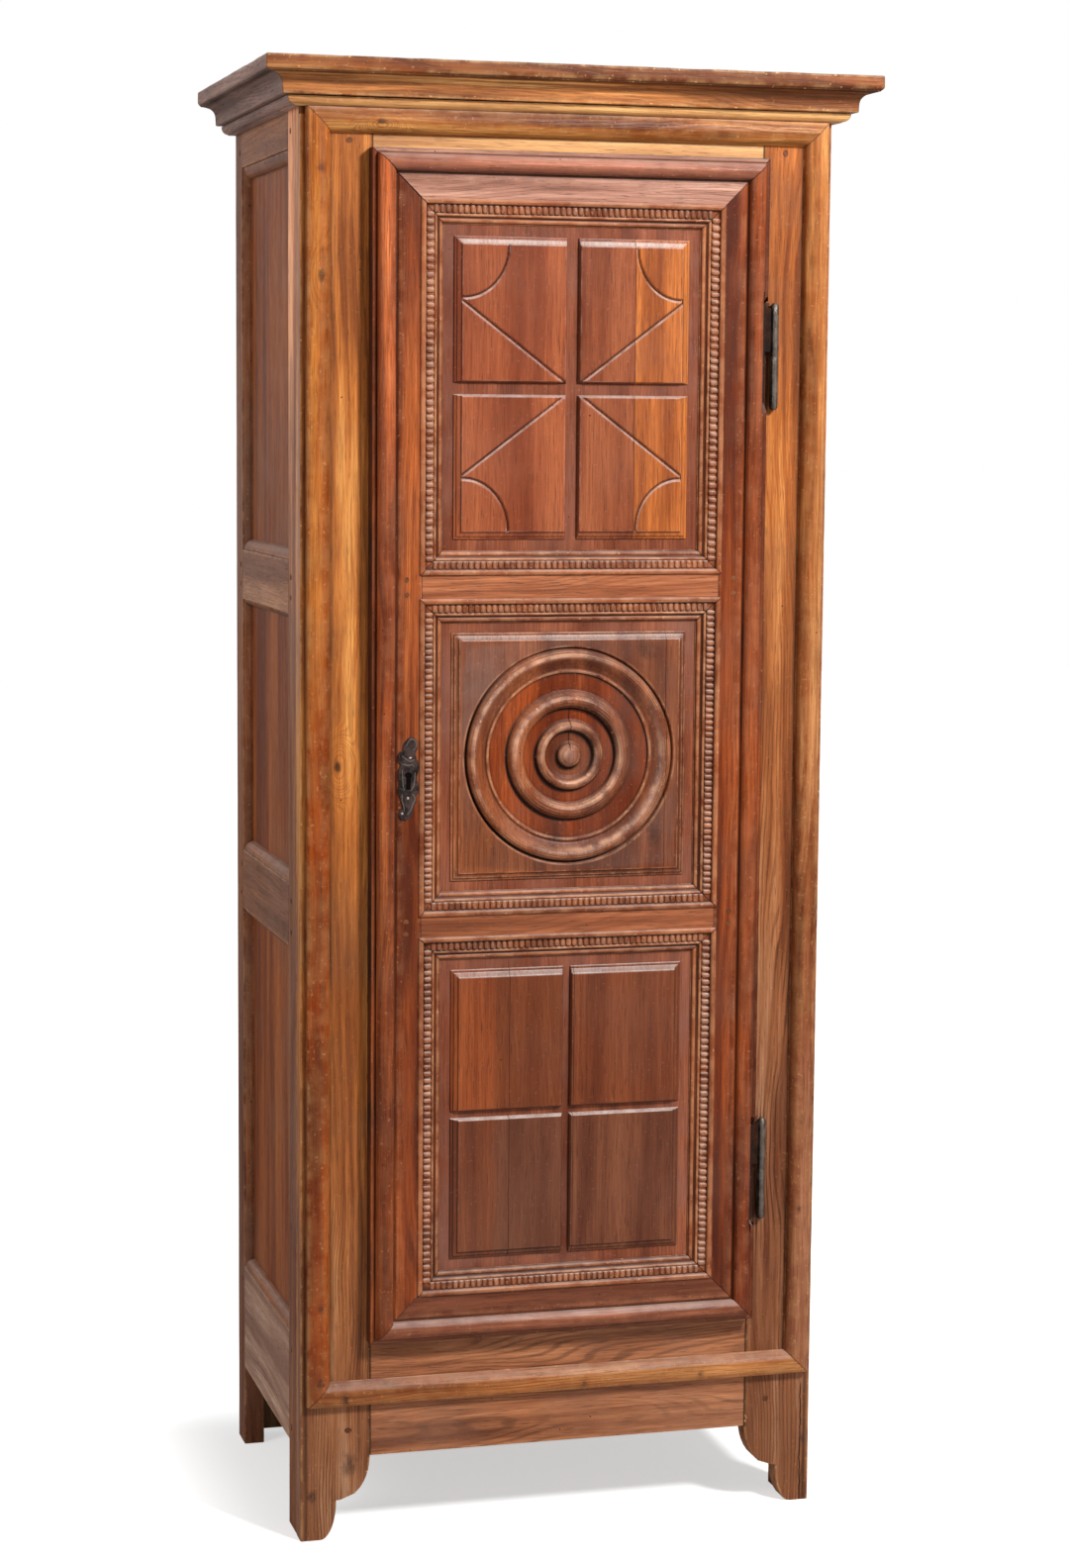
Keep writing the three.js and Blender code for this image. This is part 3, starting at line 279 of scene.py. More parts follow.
def old_wood(name, dark, mid, light, wear_and_highlight, dirt_and_shade, dull, rings=60.0, wander=5.0, knot=None, knot_size=0.01,
             stain=0.35, gloss=0.4, shine=0.13, wear_and_highlight_share=0.35, grime_and_shade_depth=0.8, holes=0.8, along=None, relief=0.4,
             upward_dust_and_sheen=0.3, cast=None, joints=(), split=None, ring_depth=1.0, lines=0.22, lines_cast=0.0,
             cracks=(), blots=()):
    """Old waxed wood, its tones as levels of 0 to 255. Grain follows the piece's grain attribute, or
    an axis given by along. The cast is multiplied in where the piece's tint attribute says. Joints are
    dark lines at each X in metres, cracks run up from Z to Z at an X, blots are dark spots at X and Z,
    and a split gives the tones of the board beyond its X."""
    dark, mid, light, wear_and_highlight, dirt_and_shade, dull = (shade(*tone) for tone in (dark, mid, light, wear_and_highlight, dirt_and_shade, dull))
    dust_and_sheen_tone, hole_tone = shade(206, 186, 177), shade(32, 18, 12)
    crack_tone, blot_tone = shade(18, 10, 8), shade(48, 36, 32)
    material = bpy.data.materials.new(name)
    tree = cleared(material)

    def times(first, second, clamp=False):
        return sum_of(tree, "MULTIPLY", first, second, clamp=clamp)

    def plus(value, share, base):
        return sum_of(tree, "MULTIPLY_ADD", value, share, base)

    def over(colour, factor, tone):
        return mixed_colour(tree, factor, colour, tone)

    solid_place = put(tree, "ShaderNodeTexCoord").outputs["Object"]
    if along is None:
        place = put(tree, "ShaderNodeAttribute", attribute_name="grain").outputs["Vector"]
    else:
        turned = {"X": (0, 0, 0), "Y": (0, 0, math.pi / 2), "Z": (0, math.pi / 2, 0)}[along]
        place = put(tree, "ShaderNodeMapping", {"Vector": solid_place, "Rotation": turned}).outputs[0]
    wood = put(tree, "ShaderNodeGroup", node_tree=figure)
    tree.links.new(place, wood.inputs["Place"])
    wood.inputs["Rings"].default_value = rings
    wood.inputs["Wander"].default_value = wander
    wood.inputs["Ring Depth"].default_value = ring_depth
    if knot:
        wood.inputs["Knot"].default_value = knot
        wood.inputs["Knot Size"].default_value = knot_size
    wood = wood.outputs
    skin = put(tree, "ShaderNodeGroup", node_tree=age)
    tree.links.new(solid_place, skin.inputs["Place"])
    skin.inputs["Holes"].default_value = holes
    skin = skin.outputs
    spot = put(tree, "ShaderNodeSeparateXYZ", {0: solid_place}).outputs
    crested, grime_and_shade_mask = mask(tree, "crest"), mask(tree, "grime_and_shade")

    # The wood itself
    colour = tones_of(tree, wood["Figure"], dark, mid, light)
    if split:
        at, *tones, ragged = split
        beyond = plus(wood["Fibre"], ragged, spot[0])
        beyond = faded(tree, beyond, at + ragged * 0.4, at + ragged * 0.6 + 0.0004)
        colour = over(colour, beyond, tones_of(tree, wood["Figure"], *(shade(*tone) for tone in tones)))
    drawn = times(wood["Lines"], lines)
    if cast:
        tinted = mask(tree, "tint")
        colour = over(colour, tinted, mixed_colour(tree, 1.0, colour, (*cast, 1.0), "MULTIPLY"))
        drawn = times(wood["Lines"], plus(tinted, lines_cast, lines))
    colour = over(colour, drawn, dirt_and_shade)
    colour = over(colour, faded(tree, wood["Fibre"], 0.34, 0.64, 0.5, 0.0), dark)
    colour = over(colour, times(wood["Pores"], 0.5), dirt_and_shade)
    colour = over(colour, times(wood["Knot"], 0.85), dirt_and_shade)

    # Wear and painted highlights, dirt and painted shade, dust and painted sheen
    colour = over(colour, times(skin["Stain"], stain), dull)
    # Crests are paled: wear, and on some pieces painted highlights
    crest = times(times(crested, skin["Wear_And_Highlight_Patches"]), wear_and_highlight_share, clamp=True)
    colour = over(colour, crest, wear_and_highlight)
    # Darkened here: dirt, and painted shade in recesses, under parts and beside them
    grime_and_shade = times(times(grime_and_shade_mask, plus(skin["Stain"], 0.35, 0.75)), grime_and_shade_depth, clamp=True)
    colour = over(colour, grime_and_shade, dirt_and_shade)
    # Surfaces that face up are paled: dust, and painted sheen
    normal = put(tree, "ShaderNodeNewGeometry").outputs["Normal"]
    upward = faded(tree, put(tree, "ShaderNodeSeparateXYZ", {0: normal}).outputs[2], 0.25, 0.9, 0.0, upward_dust_and_sheen)
    upward = sum_of(tree, "MAXIMUM", upward, mask(tree, "dust_and_sheen"))
    streaked = plus(skin["Wear_And_Highlight_Patches"], 0.3, plus(wood["Fibre"], 1.2, 0.05))
    colour = over(colour, times(upward, streaked, clamp=True), dust_and_sheen_tone)
    chipped = times(skin["Chips"], plus(crested, 0.6, 0.1), clamp=True)
    colour = over(colour, chipped, wear_and_highlight)
    colour = over(colour, skin["Hole"], hole_tone)

    # Joints between boards, cracks and dark spots
    for x in joints:
        aside = sum_of(tree, "ABSOLUTE", sum_of(tree, "SUBTRACT", spot[0], x))
        colour = over(colour, faded(tree, aside, 0.0002, 0.0007, 0.85, 0.0), dirt_and_shade)
    for x, low, high, wide in cracks:
        bend = speckle(tree, scaled(tree, solid_place, (0.0, 0.0, 55.0)), 3.0)
        aside = plus(bend, 0.006, sum_of(tree, "SUBTRACT", spot[0], x + 0.003))
        narrow = faded(tree, sum_of(tree, "ABSOLUTE", aside), wide * 0.5, wide, 1.0, 0.0)
        narrow = times(narrow, faded(tree, spot[2], low, low + 0.004))
        narrow = times(narrow, faded(tree, spot[2], high - 0.012, high, 1.0, 0.0))
        colour = over(colour, narrow, crack_tone)
    for x, z, wide, depth in blots:
        aside = scaled(tree, vector_sum(tree, "SUBTRACT", solid_place, (x, 0.0, z)), (1.0, 0.0, 0.7))
        cloud = speckle(tree, solid_place, 5.0, 0.75, 1.2 / wide)
        cloud = plus(cloud, wide * 2.6, vector_sum(tree, "LENGTH", aside))
        colour = over(colour, faded(tree, cloud, wide * 1.1, wide * 2.4, depth, 0.0), blot_tone)

    rough = plus(skin["Dents"], 0.16, gloss - 0.08)
    rough = plus(grime_and_shade, 0.25, rough)
    rough = plus(wood["Pores"], 0.15, rough)
    rough = plus(crest, -0.06, rough)
    height = plus(wood["Pores"], -0.35, wood["Fibre"])
    height = plus(drawn, -0.8, height)
    height = plus(skin["Dents"], 2.2, height)
    height = plus(skin["Hole"], -2.0, height)
    finished(material, colour, rough, relief, 0.0009, height, shine)
    return material


def skin_of(rings, grain, crest, grime_and_shade):
    """A closed shell through rings of points, as arrays of rings by points, with capped ends."""
    count, around = rings.shape[:2]
    index = np.arange(count * around).reshape(count, around)
    faces = [(index[i, j], index[i, (j + 1) % around], index[i + 1, (j + 1) % around], index[i + 1, j])
             for i in range(count - 1) for j in range(around)]
    faces += [tuple(index[0][::-1]), tuple(index[-1])]
    return (rings.reshape(-1, 3), faces, grain.reshape(-1, 3), crest.reshape(-1), grime_and_shade.reshape(-1))


def piece(name, shells, material, body, nodes=(), sharp=38.0, tint=None, dust_and_sheen=None):
    """One object from its shells, in metres, with the grain, wear, dirt, dust and painted light and shade
    that its wood reads.
    """
    verts, faces, grain, crest, grime_and_shade, base = [], [], [], [], [], 0
    for points, shell_faces, along, top, low in shells:
        verts.append(points)
        faces.extend(tuple(int(i) + base for i in face) for face in shell_faces)
        grain.append(along)
        crest.append(top)
        grime_and_shade.append(low)
        base += len(points)
    mesh = bpy.data.meshes.new(name)
    mesh.from_pydata(np.concatenate(verts).tolist(), [], faces)
    kinds = {"FLOAT_VECTOR": "vector", "FLOAT": "value"}
    for key, kind, values in (("grain", "FLOAT_VECTOR", grain), ("crest", "FLOAT", crest),
                              ("grime_and_shade", "FLOAT", grime_and_shade)):
        layer = mesh.attributes.new(key, kind, "POINT")
        layer.data.foreach_set(kinds[kind], np.concatenate(values).astype(np.float32).ravel())
    for key, values in (("tint", tint), ("dust_and_sheen", dust_and_sheen)):
        if values is not None:
            layer = mesh.attributes.new(key, "FLOAT", "POINT")
            layer.data.foreach_set("value", np.asarray(values, np.float32).ravel())
    shape = bmesh.new()
    shape.from_mesh(mesh)
    bmesh.ops.remove_doubles(shape, verts=shape.verts, dist=1e-6)
    bmesh.ops.recalc_face_normals(shape, faces=shape.faces)
    shape.to_mesh(mesh)
    shape.free()
    mesh.shade_smooth()
    mesh.set_sharp_from_angle(angle=math.radians(sharp))
    mesh.materials.append(material)
    made = set_down(name, mesh)
    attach(made, body)
    if nodes:
        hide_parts(*nodes)
    return made


def uneven(points, amount, scale=9.0):
    """Small slow swells and dips of hand work at each place, in metres."""
    flat = points.reshape(-1, 3)
    found = [noise.noise(Vector(p) * scale) + 0.45 * noise.noise(Vector(p) * scale * 3.7) for p in flat]
    return np.array(found).reshape(points.shape[:-1]) * amount


def wear_of(outline, reach):
    """How far each point of a closed outline stands out as a crest or lies in as a hollow."""
    closed = np.vstack([outline, outline[:1]])
    steps = np.linalg.norm(np.diff(closed, axis=0), axis=1)
    run = np.concatenate([[0], np.cumsum(steps)])
    total = run[-1]
    area = np.sum(outline[:, 0] * np.roll(outline[:, 1], -1) - outline[:, 1] * np.roll(outline[:, 0], -1))
    crest = np.zeros(len(outline))
    grime_and_shade = np.zeros(len(outline))
    for i, here in enumerate(outline):
        sides = []
        for s in ((run[i] - reach) % total, (run[i] + reach) % total):
            sides.append([np.interp(s, run, closed[:, 0]), np.interp(s, run, closed[:, 1])])
        before, after = np.array(sides)
        along = after - before
        normal = np.array([along[1], -along[0]]) * np.sign(area)
        length = np.linalg.norm(normal)
        if length > 1e-9:
            depth = np.dot((before + after) / 2 - here, normal / length) / reach
            crest[i] = np.clip(-depth * 2.6, 0, 1)
            grime_and_shade[i] = np.clip(depth * 2.6, 0, 1)
    return crest, grime_and_shade


def run_of(outline, corner, along, across, outward, length, mitres=(0, 0), step=18.0, swell=0.35, seed=0.0,
           gap=(0.2, 0.2), reach=2.2, stops=()):
    """A length of moulding or board: an outline of (across, out) points in mm, run along an axis.
    A mitre of 1 faces in and -1 faces out; a square end gets a small chamfer. Stops are extra
    places along the length, in mm, where the shell gets a ring of points."""
    chamfer, end_band = 0.5, 1.3
    outline = np.array(outline, float)
    crest, grime_and_shade = wear_of(outline, reach)
    corner, along, across, outward = (np.array(v, float) for v in (corner, along, across, outward))
    low = mitres[0] * outline[:, 0] + (gap[0] if mitres[0] else 0)
    high = length - mitres[1] * outline[:, 0] - (gap[1] if mitres[1] else 0)
    middle = outline.mean(0)
    rings, places, shade_and_soil = [], [], []

    def add(at, pull, dirt_and_shade_here):
        shape = outline - np.sign(outline - middle) * pull
        rings.append(corner + at[:, None] * along + shape[:, :1] * across + shape[:, 1:] * outward)
        places.append(np.stack([at + seed * 911.0, outline[:, 0] + seed * 377.0,
                                outline[:, 1] + seed * 131.0], 1))
        shade_and_soil.append(dirt_and_shade_here)

    if not mitres[0]:
        add(low, chamfer, 1.0)
        low = low + chamfer
    if not mitres[1]:
        high = high - chamfer
    near = end_band / length
    count = max(3, int(length / step) + 1)
    shares = [0.0, near, 1 - near, 1.0] + list(np.linspace(0, 1, count))[1:-1]
    for share in sorted(shares + [stop / length for stop in stops]):
        add(low + (high - low) * share, 0.0, 1.0 if share in (0.0, 1.0) else 0.0)
    if not mitres[1]:
        add(high + chamfer, chamfer, 1.0)
    # End rings are darkened where the run meets its neighbours
    shade_and_soil = np.array(shade_and_soil)[:, None]
    rings = np.array(rings) / 1000.0
    if swell:
        amount = uneven(rings, swell / 1000.0)
        keep = np.clip(outline[:, 1] / max(1e-6, outline[:, 1].max()), 0.0, 1.0)
        rings = rings + (amount * keep[None, :])[..., None] * outward
        chips = np.clip(uneven(rings + 3.0, 1.0, 60.0) - 0.25, 0, 1) * crest[None, :]
        rings = rings - (chips * 0.0012)[..., None] * outward
    shape = rings.shape[:2]
    return skin_of(rings, np.array(places) / 1000.0, np.broadcast_to(crest, shape) * (1 - shade_and_soil),
                   np.maximum(np.broadcast_to(grime_and_shade, shape), shade_and_soil * 0.9))


case_wide, case_deep, case_high, crown_reach = 738.0, 486.0, 1982.0, 55.0
middle_x, origin_y = case_wide / 2, (case_deep - crown_reach) / 2


def case_place(x, y, z):
    """A place measured in mm from the case's front left corner on the floor."""
    return np.array([x - middle_x, y - origin_y, z], float)


def arris(width, depth, radius=1.3, spread=4.0):
    """A board's end outline in mm, with rounded arrises and a few points across its faces."""
    points = []
    corners = ((radius, radius, 2), (width - radius, radius, 3), (width - radius, depth - radius, 0),
               (radius, depth - radius, 1))
    for cx, cy, start_turn in corners:
        for k in range(4):
            angle = (start_turn + k / 3) * math.pi / 2
            points.append((cx + radius * math.cos(angle), cy + radius * math.sin(angle)))
        level = start_turn in (2, 0)
        side = 1 if start_turn in (2, 3) else -1
        full = width if level else depth
        span = full - 2 * radius - 2 * spread
        base = radius + spread if side == 1 else full - radius - spread
        if span > 0 and level:
            y = 0.0 if side == 1 else depth
            points.extend((base + side * span * s, y) for s in (0.0, 0.33, 0.67, 1.0))
        elif span > 0:
            x = width if side == 1 else 0.0
            points.extend((x, base + side * span * s) for s in (0.0, 1.0))
    return points


worn_gold = dict(wear_and_highlight=(226, 168, 108), dirt_and_shade=(40, 22, 14), dull=(128, 82, 54))
post_woods = {
    "left": old_wood("post_wood_left", (126, 66, 28), (199, 118, 53), (240, 166, 88), **worn_gold,
                     rings=70.0, wander=7.0, knot=(1.07, 0.05, 0.0), knot_size=0.007, stain=0.35,
                     cast=(0.56, 0.74, 1.7), lines=0.25, lines_cast=0.6,
                     blots=((-0.355, 0.063, 0.008, 0.9), (-0.302, 0.105, 0.015, 0.7))),
    "right": old_wood("post_wood_right", (122, 60, 24), (190, 107, 48), (232, 150, 78), **worn_gold,
                      rings=55.0, wander=6.0, knot=(0.62, 0.06, 0.0), knot_size=0.009, stain=0.45,
                      cast=(0.56, 0.74, 1.6), lines=0.25, lines_cast=0.6,
                      cracks=((0.356, -0.01, 0.178, 0.0011),), blots=((0.36, 0.088, 0.008, 0.8),)),
}
post_wide, post_thick = 97.0, 30.0
foot_high, foot_step, foot_inner, foot_toe = 114.5, 55.0, 56.0, 28.0
toe_bulge, toe_drop, arch_bulge, arch_drop = 22.0, 55.0, 41.0, 59.5
mortise_deep, mortise_low, mortise_high = 11.2, 1042.1, 1066.9
mortise_front, mortise_back = 10.1, 22.1
notch_low, notch_high, notch_size = 1929.0, 1950.0, 8.0

# Where the face is darkened, by height: in the moulding's corner from its foot up, as dirt and
# painted shade; in the joints with the two front rails; and beside the two hinges, as painted shade
moulding_foot, apron_low, apron_top, top_rail_low = 189.0, 114.0, 282.8, 1882.0
hinge_spans = ((416.0, 563.5), (1548.0, 1695.5))

# Points nearer the left edge than the first of these stay put as the foot narrows, points past the
# second go in with the edge, and those between close up
stays_left, goes_right, close_up_from = 11.0, 94.0, 14.4

# Points along the face that let the foot, the moulding's edges and the mortise be cut cleanly
face_points = (2.4, 5.0, 7.6, 11.0, 38.6, 40.8, 43.4, 49.0, 70.0, 85.0, 87.0, 92.6)
foot_rings = [0.0, 1.0, 3.0, 6.0, 11.0, 18.0, 26.0, 36.0, 46.0, 54.7, 55.0, 62.0, 70.0, 78.0, 86.0, 94.0,
              102.0, 108.0, 112.0, 114.5]
shaft_rings = list(np.linspace(130.0, 1920.0, 92))
head_rings = [1929.0, 1929.2, 1936.0, 1949.8, 1950.0, 1966.0, 1982.0]
edge_rings = [188.0, 190.2, 282.0, 283.5, 415.0, 418.0, 562.0, 565.0, 1042.0, 1042.2, 1066.8, 1067.0,
              1547.0, 1550.0, 1694.0, 1697.0, 1881.0, 1883.0]
heights = sorted(foot_rings + shaft_rings + head_rings + edge_rings)
outline = arris(post_wide, post_thick, 1.6, 4.0)
outline[4:8] = [(x, 0.0) for x in face_points]
outline[21:21] = [(post_wide, y) for y in (10.0, 10.2, 22.0, 22.2)]
outline = np.array(outline)
crest, grime_and_shade = wear_of(outline, 2.4)
# Dirt and painted shade along the moulding's outer edge
grime_and_shade[4:8] = 0.1, 0.6, 1.0, 0.0
grime_and_shade[8:16] = 0.0


def post_width(z):
    """The face board's width at a height, drawn in by the two arcs of its foot."""
    if z < foot_step:
        return foot_toe + toe_bulge * math.sqrt(max(0.0, 1 - ((foot_step - z) / toe_drop) ** 2))
    if z < foot_high:
        return foot_inner + arch_bulge * math.sqrt(max(0.0, 1 - ((foot_high - z) / arch_drop) ** 2))
    return post_wide


for side, face in (("left", 1), ("right", -1)):
    edge_x = 0.0 if side == "left" else case_wide
    rings, places, shade_and_soil = [], [], []
    for z in heights:
        width = post_width(z)
        shape = outline.copy()
        far_side = shape[:, 0] > goes_right
        between = (shape[:, 0] > stays_left) & ~far_side
        closing = (shape[between, 0] - stays_left) * (width - close_up_from) / (post_wide - close_up_from)
        shape[between, 0] = stays_left + closing
        shape[far_side, 0] += width - post_wide
        if side == "left" and notch_low < z < notch_high:
            cut = (shape[:, 0] < notch_size) & (shape[:, 1] < notch_size)
            shape[cut, 1] = notch_size
        mortise = (shape[:, 0] > 96.0) & (shape[:, 1] > mortise_front) & (shape[:, 1] < mortise_back)
        mortise &= side == "left" and mortise_low < z < mortise_high
        shape[mortise, 0] = post_wide - mortise_deep
        ring = np.column_stack([edge_x + face * shape[:, 0], shape[:, 1], np.full(len(shape), z)])
        rings.append(case_place(0, 0, 0) + ring)
        grain_x = shape[:, 0] + (0 if side == "left" else 400)
        places.append(np.stack([np.full(len(shape), z), grain_x, shape[:, 1]], 1))
        dirt_and_shade_here = grime_and_shade.copy()
        if z > moulding_foot:
            dirt_and_shade_here[8:12] = 0.5, 0.95, 0.4, 0.0
        if apron_low < z < apron_top or z > top_rail_low:
            dirt_and_shade_here[16:20] = 0.9
        # Inside the mortise: painted shade
        dirt_and_shade_here[mortise] = 1.0
        if side == "right" and any(low < z < high for low, high in hinge_spans):
            dirt_and_shade_here[14:18] = 1.0
        shade_and_soil.append(dirt_and_shade_here)
    rings = np.array(rings) / 1000.0
    front = (outline[:, 1] < 4.0).astype(float)
    rings[..., 1] += uneven(rings, 0.0004, 7.0) * front[None, :]
    nicks = np.clip(uneven(rings + 5.0, 1.0, 45.0) - 0.2, 0, 1) * crest[None, :]
    rings[..., 1] += nicks * 0.0016 * front[None, :]
    shell = skin_of(rings, np.array(places) / 1000.0, np.broadcast_to(crest, rings.shape[:2]).copy(),
                    np.array(shade_and_soil))
    darker_top, fade = (0.62, 0.5) if side == "left" else (1.5, 0.9)
    piece(f"post_front_{side}_face", [shell], post_woods[side], "case", [f"post_front_{side}"],
          tint=np.clip((darker_top - rings[..., 2]) / fade, 0, 1))


# Rest of the case's uprights and side frames
# Side boards of the front posts, rear posts and four rails a side, all let in flush and pegged.
# Dry grey-brown wood, hardly waxed; the side boards of the front posts turn paler and greyer higher up.
grey = dict(wear_and_highlight=(196, 142, 100), dirt_and_shade=(38, 22, 15), dull=(136, 98, 80), wander=5.0, stain=0.5,
            gloss=0.55, wear_and_highlight_share=0.5)
side_woods = {
    "post": old_wood("side_post_wood", (98, 52, 28), (146, 88, 53), (182, 118, 74), **grey,
                     cast=(4.6, 5.8, 8.2), ring_depth=0.5),
    "rear": old_wood("side_rear_post_wood", (92, 48, 28), (140, 84, 53), (176, 114, 74), **grey,
                     rings=85.0),
    "bottom": old_wood("side_bottom_rail_wood", (144, 104, 84), (198, 156, 131), (228, 190, 166), **grey,
                       lines=0.35),
    "lower": old_wood("side_lower_rail_wood", (90, 50, 32), (134, 86, 60), (166, 112, 82), **grey),
    "upper": old_wood("side_upper_rail_wood", (124, 78, 56), (182, 126, 92), (214, 158, 122), **grey),
    "top": old_wood("side_top_rail_wood", (108, 62, 38), (158, 100, 66), (190, 130, 90), **grey),
}
across_case, back_case, up = (1, 0, 0), (0, 1, 0), (0, 0, 1)
to_left, to_front, down = (-1, 0, 0), (0, -1, 0), (0, 0, -1)


def board(name, low, high, grain_axis, material, body, nodes=(), radius=1.2, seed=0.0, swell=0.25,
          tint_at=None):
    """A plain board by its corners in mm in the case's measure, with its grain along an axis."""
    low, high = np.array(low, float), np.array(high, float)
    size = high - low
    run, wide, thick = {"X": (0, 1, 2), "Y": (1, 2, 0), "Z": (2, 0, 1)}[grain_axis]
    unit = np.eye(3)
    outline = np.array(arris(size[wide], size[thick], min(radius, size[thick] / 3, size[wide] / 3), 3.0))
    shell = run_of(outline, case_place(*low), unit[run], unit[wide], unit[thick], size[run],
                   swell=0.0, seed=seed, step=22.0)
    if swell:
        points = shell[0]
        middle = (case_place(*low) + case_place(*high)) / 2000.0
        thin = int(np.argmin(size))
        face = np.sign(points[:, thin] - middle[thin])
        points[:, thin] += uneven(points, swell / 1000.0, 6.0) * face - face * swell / 1000.0 * 0.6
    return piece(name, [shell], material, body, nodes, tint=tint_at(shell[0]) if tint_at else None)


def mirrored(side, near, far):
    """Two places in from the left face of the case, or the same in from its right face."""
    return (near, far) if side == "left" else (case_wide - far, case_wide - near)


def paler_up(points):
    return 0.4 * np.clip((points[:, 2] - 0.9) / 0.7, 0, 1) + 0.6 * np.clip((points[:, 2] - 1.5) / 0.3, 0, 1)


frame_front, frame_back = 85.0, 436.0
rails = [("bottom", 119.0, 274.0), ("lower", 815.0, 902.0), ("upper", 1271.0, 1343.0),
         ("top", 1890.0, case_high)]
for side in ("left", "right"):
    x0, x1 = mirrored(side, 0.2, 29.8)
    board(f"post_front_{side}_side", (x0, post_thick, 0.0), (x1, frame_front, case_high), "Z",
          side_woods["post"], "case", seed=1.3 if side == "left" else 2.1, tint_at=paler_up)
    board(f"post_rear_{side}_upright", (x0, frame_back, 0.0), (x1, case_deep, case_high), "Z",
          side_woods["rear"], "case", [f"post_rear_{side}"], seed=3.7)
    x0, x1 = mirrored(side, 0.3, 27.0)
    for i, (name, low, high) in enumerate(rails):
        board(f"side_{name}_rail_{side}_board", (x0, frame_front + 0.2, low), (x1, frame_back - 0.2, high),
              "Y", side_woods[name], "case", [f"side_{name}_rail_{side}"], seed=4.0 + i)


# Side panels
# Thin fielded boards, one to each opening, held loose in the grooves of the side frames. The same
# wood, dry and stained, and warmer in tone than its frame.
panel_wood = old_wood("side_panel_wood", (98, 42, 14), (149, 76, 29), (184, 104, 46), wear_and_highlight=(176, 120, 80),
                      dirt_and_shade=(36, 21, 14), dull=(138, 90, 64), rings=30.0, wander=9.0, stain=0.5, gloss=0.55,
                      ring_depth=0.25, lines=0.07)
panel_heights = [("lower", 274.0, 815.0), ("middle", 902.0, 1271.0), ("upper", 1343.0, 1890.0)]
panel_face, panel_back, groove = 13.0, 21.0, 7.0
for side in ("left", "right"):
    x0, x1 = mirrored(side, panel_face, panel_back)
    for i, (name, low, high) in enumerate(panel_heights):
        board(f"side_{name}_panel_{side}_board", (x0, 80.0, low - groove), (x1, 441.0, high + groove), "Z",
              panel_wood, "case", [f"side_{name}_panel_{side}"], seed=9.0 + i * 2.3, swell=0.5)


# Ovolo trims of the side panels
# Small quarter-round strips nailed in round the side panels: a sill along the foot, a deeper
# one under the top rail and one up the rear post. The front post side has none.
trim_wood = old_wood("side_trim_wood", (104, 54, 28), (158, 90, 50), (196, 124, 76), wear_and_highlight=(188, 146, 112),
                     dirt_and_shade=(34, 22, 17), dull=(110, 88, 76), rings=90.0, wander=3.0, stain=0.4, gloss=0.5)


def quarter_round(width, rise):
    """The end outline of a strip: two flat sides, and an arc of six steps between them."""
    points = [(0.0, 0.0), (0.0, rise * 0.92), (1.2, rise)]
    for turned in (k / 6 * math.pi / 2 for k in range(1, 7)):
        points.append((1.6 + (width - 2.6) * math.sin(turned), 1.0 + (rise - 1.4) * math.cos(turned)))
    return points + [(width, 0.6), (width, 0.0)]


trim_front, trim_back, trim_run = frame_front + 0.3, frame_back - 0.3, 350.4
for side, outward in (("left", to_left), ("right", across_case)):
    face_x = panel_face if side == "left" else case_wide - panel_face
    shells = []
    for name, low, high in panel_heights:
        sill, upright = quarter_round(15.0, 11.5), quarter_round(12.0, 10.5)
        head = quarter_round(18.0 if name == "upper" else 9.0, 10.5)
        foot_corner, rear_corner = case_place(face_x, trim_front, low), case_place(face_x, trim_back, low)
        head_corner = case_place(face_x, trim_front, high)
        shells += [run_of(sill, foot_corner, back_case, up, outward, trim_run, (0, 1), seed=0.7),
                   run_of(upright, rear_corner, up, to_front, outward, high - low, (1, 1), seed=1.9),
                   run_of(head, head_corner, back_case, down, outward, trim_run, (0, 1), seed=2.9)]
    piece(f"side_panel_trims_{side}", shells, trim_wood, "case")


# Front rails
# The rail over the door and the apron under it, tenoned between the posts and pegged. The same
# waxed golden wood, pale on the rail over the door and darker and greyer on the apron.
top_rail_wood = old_wood("top_rail_wood", (176, 122, 78), (228, 172, 112), (252, 214, 154), **worn_gold,
                         rings=80.0, wander=6.0, stain=0.2)
apron_wood = old_wood("apron_wood", (110, 62, 39), (166, 104, 68), (206, 138, 95), wear_and_highlight=(206, 150, 110),
                      dirt_and_shade=(44, 27, 20), dull=(134, 96, 78), rings=65.0, wander=9.0, knot=(0.13, 1.9, 0.0),
                      knot_size=0.008, stain=0.4, lines=0.5)
rail_left, rail_right = post_wide, case_wide - post_wide
board("front_top_rail_board", (rail_left + 0.2, 0.4, 1882.5), (rail_right - 0.2, post_thick, case_high),
      "X", top_rail_wood, "case", ["front_top_rail"], seed=5.2)
board("front_bottom_rail_board", (rail_left + 0.4, 0.6, foot_high), (rail_right - 0.4, post_thick, 282.5),
      "X", apron_wood, "case", ["front_bottom_rail"], radius=1.6, seed=5.0)


# Cornice
# A crown moulding of a rounded fascia over a hollow and a foot, and a small bed moulding below
# it, each in three lengths mitred at the front corners. Orange in front, grey and dry at the sides.
def curve(cx, cy, rx, ry, start_turn, end_turn, steps):
    """Points along part of an ellipse, from one share of a full turn to another."""
    turns = [2 * math.pi * (start_turn + (end_turn - start_turn) * k / steps) for k in range(steps + 1)]
    return [(cx + rx * math.cos(t), cy + ry * math.sin(t)) for t in turns]


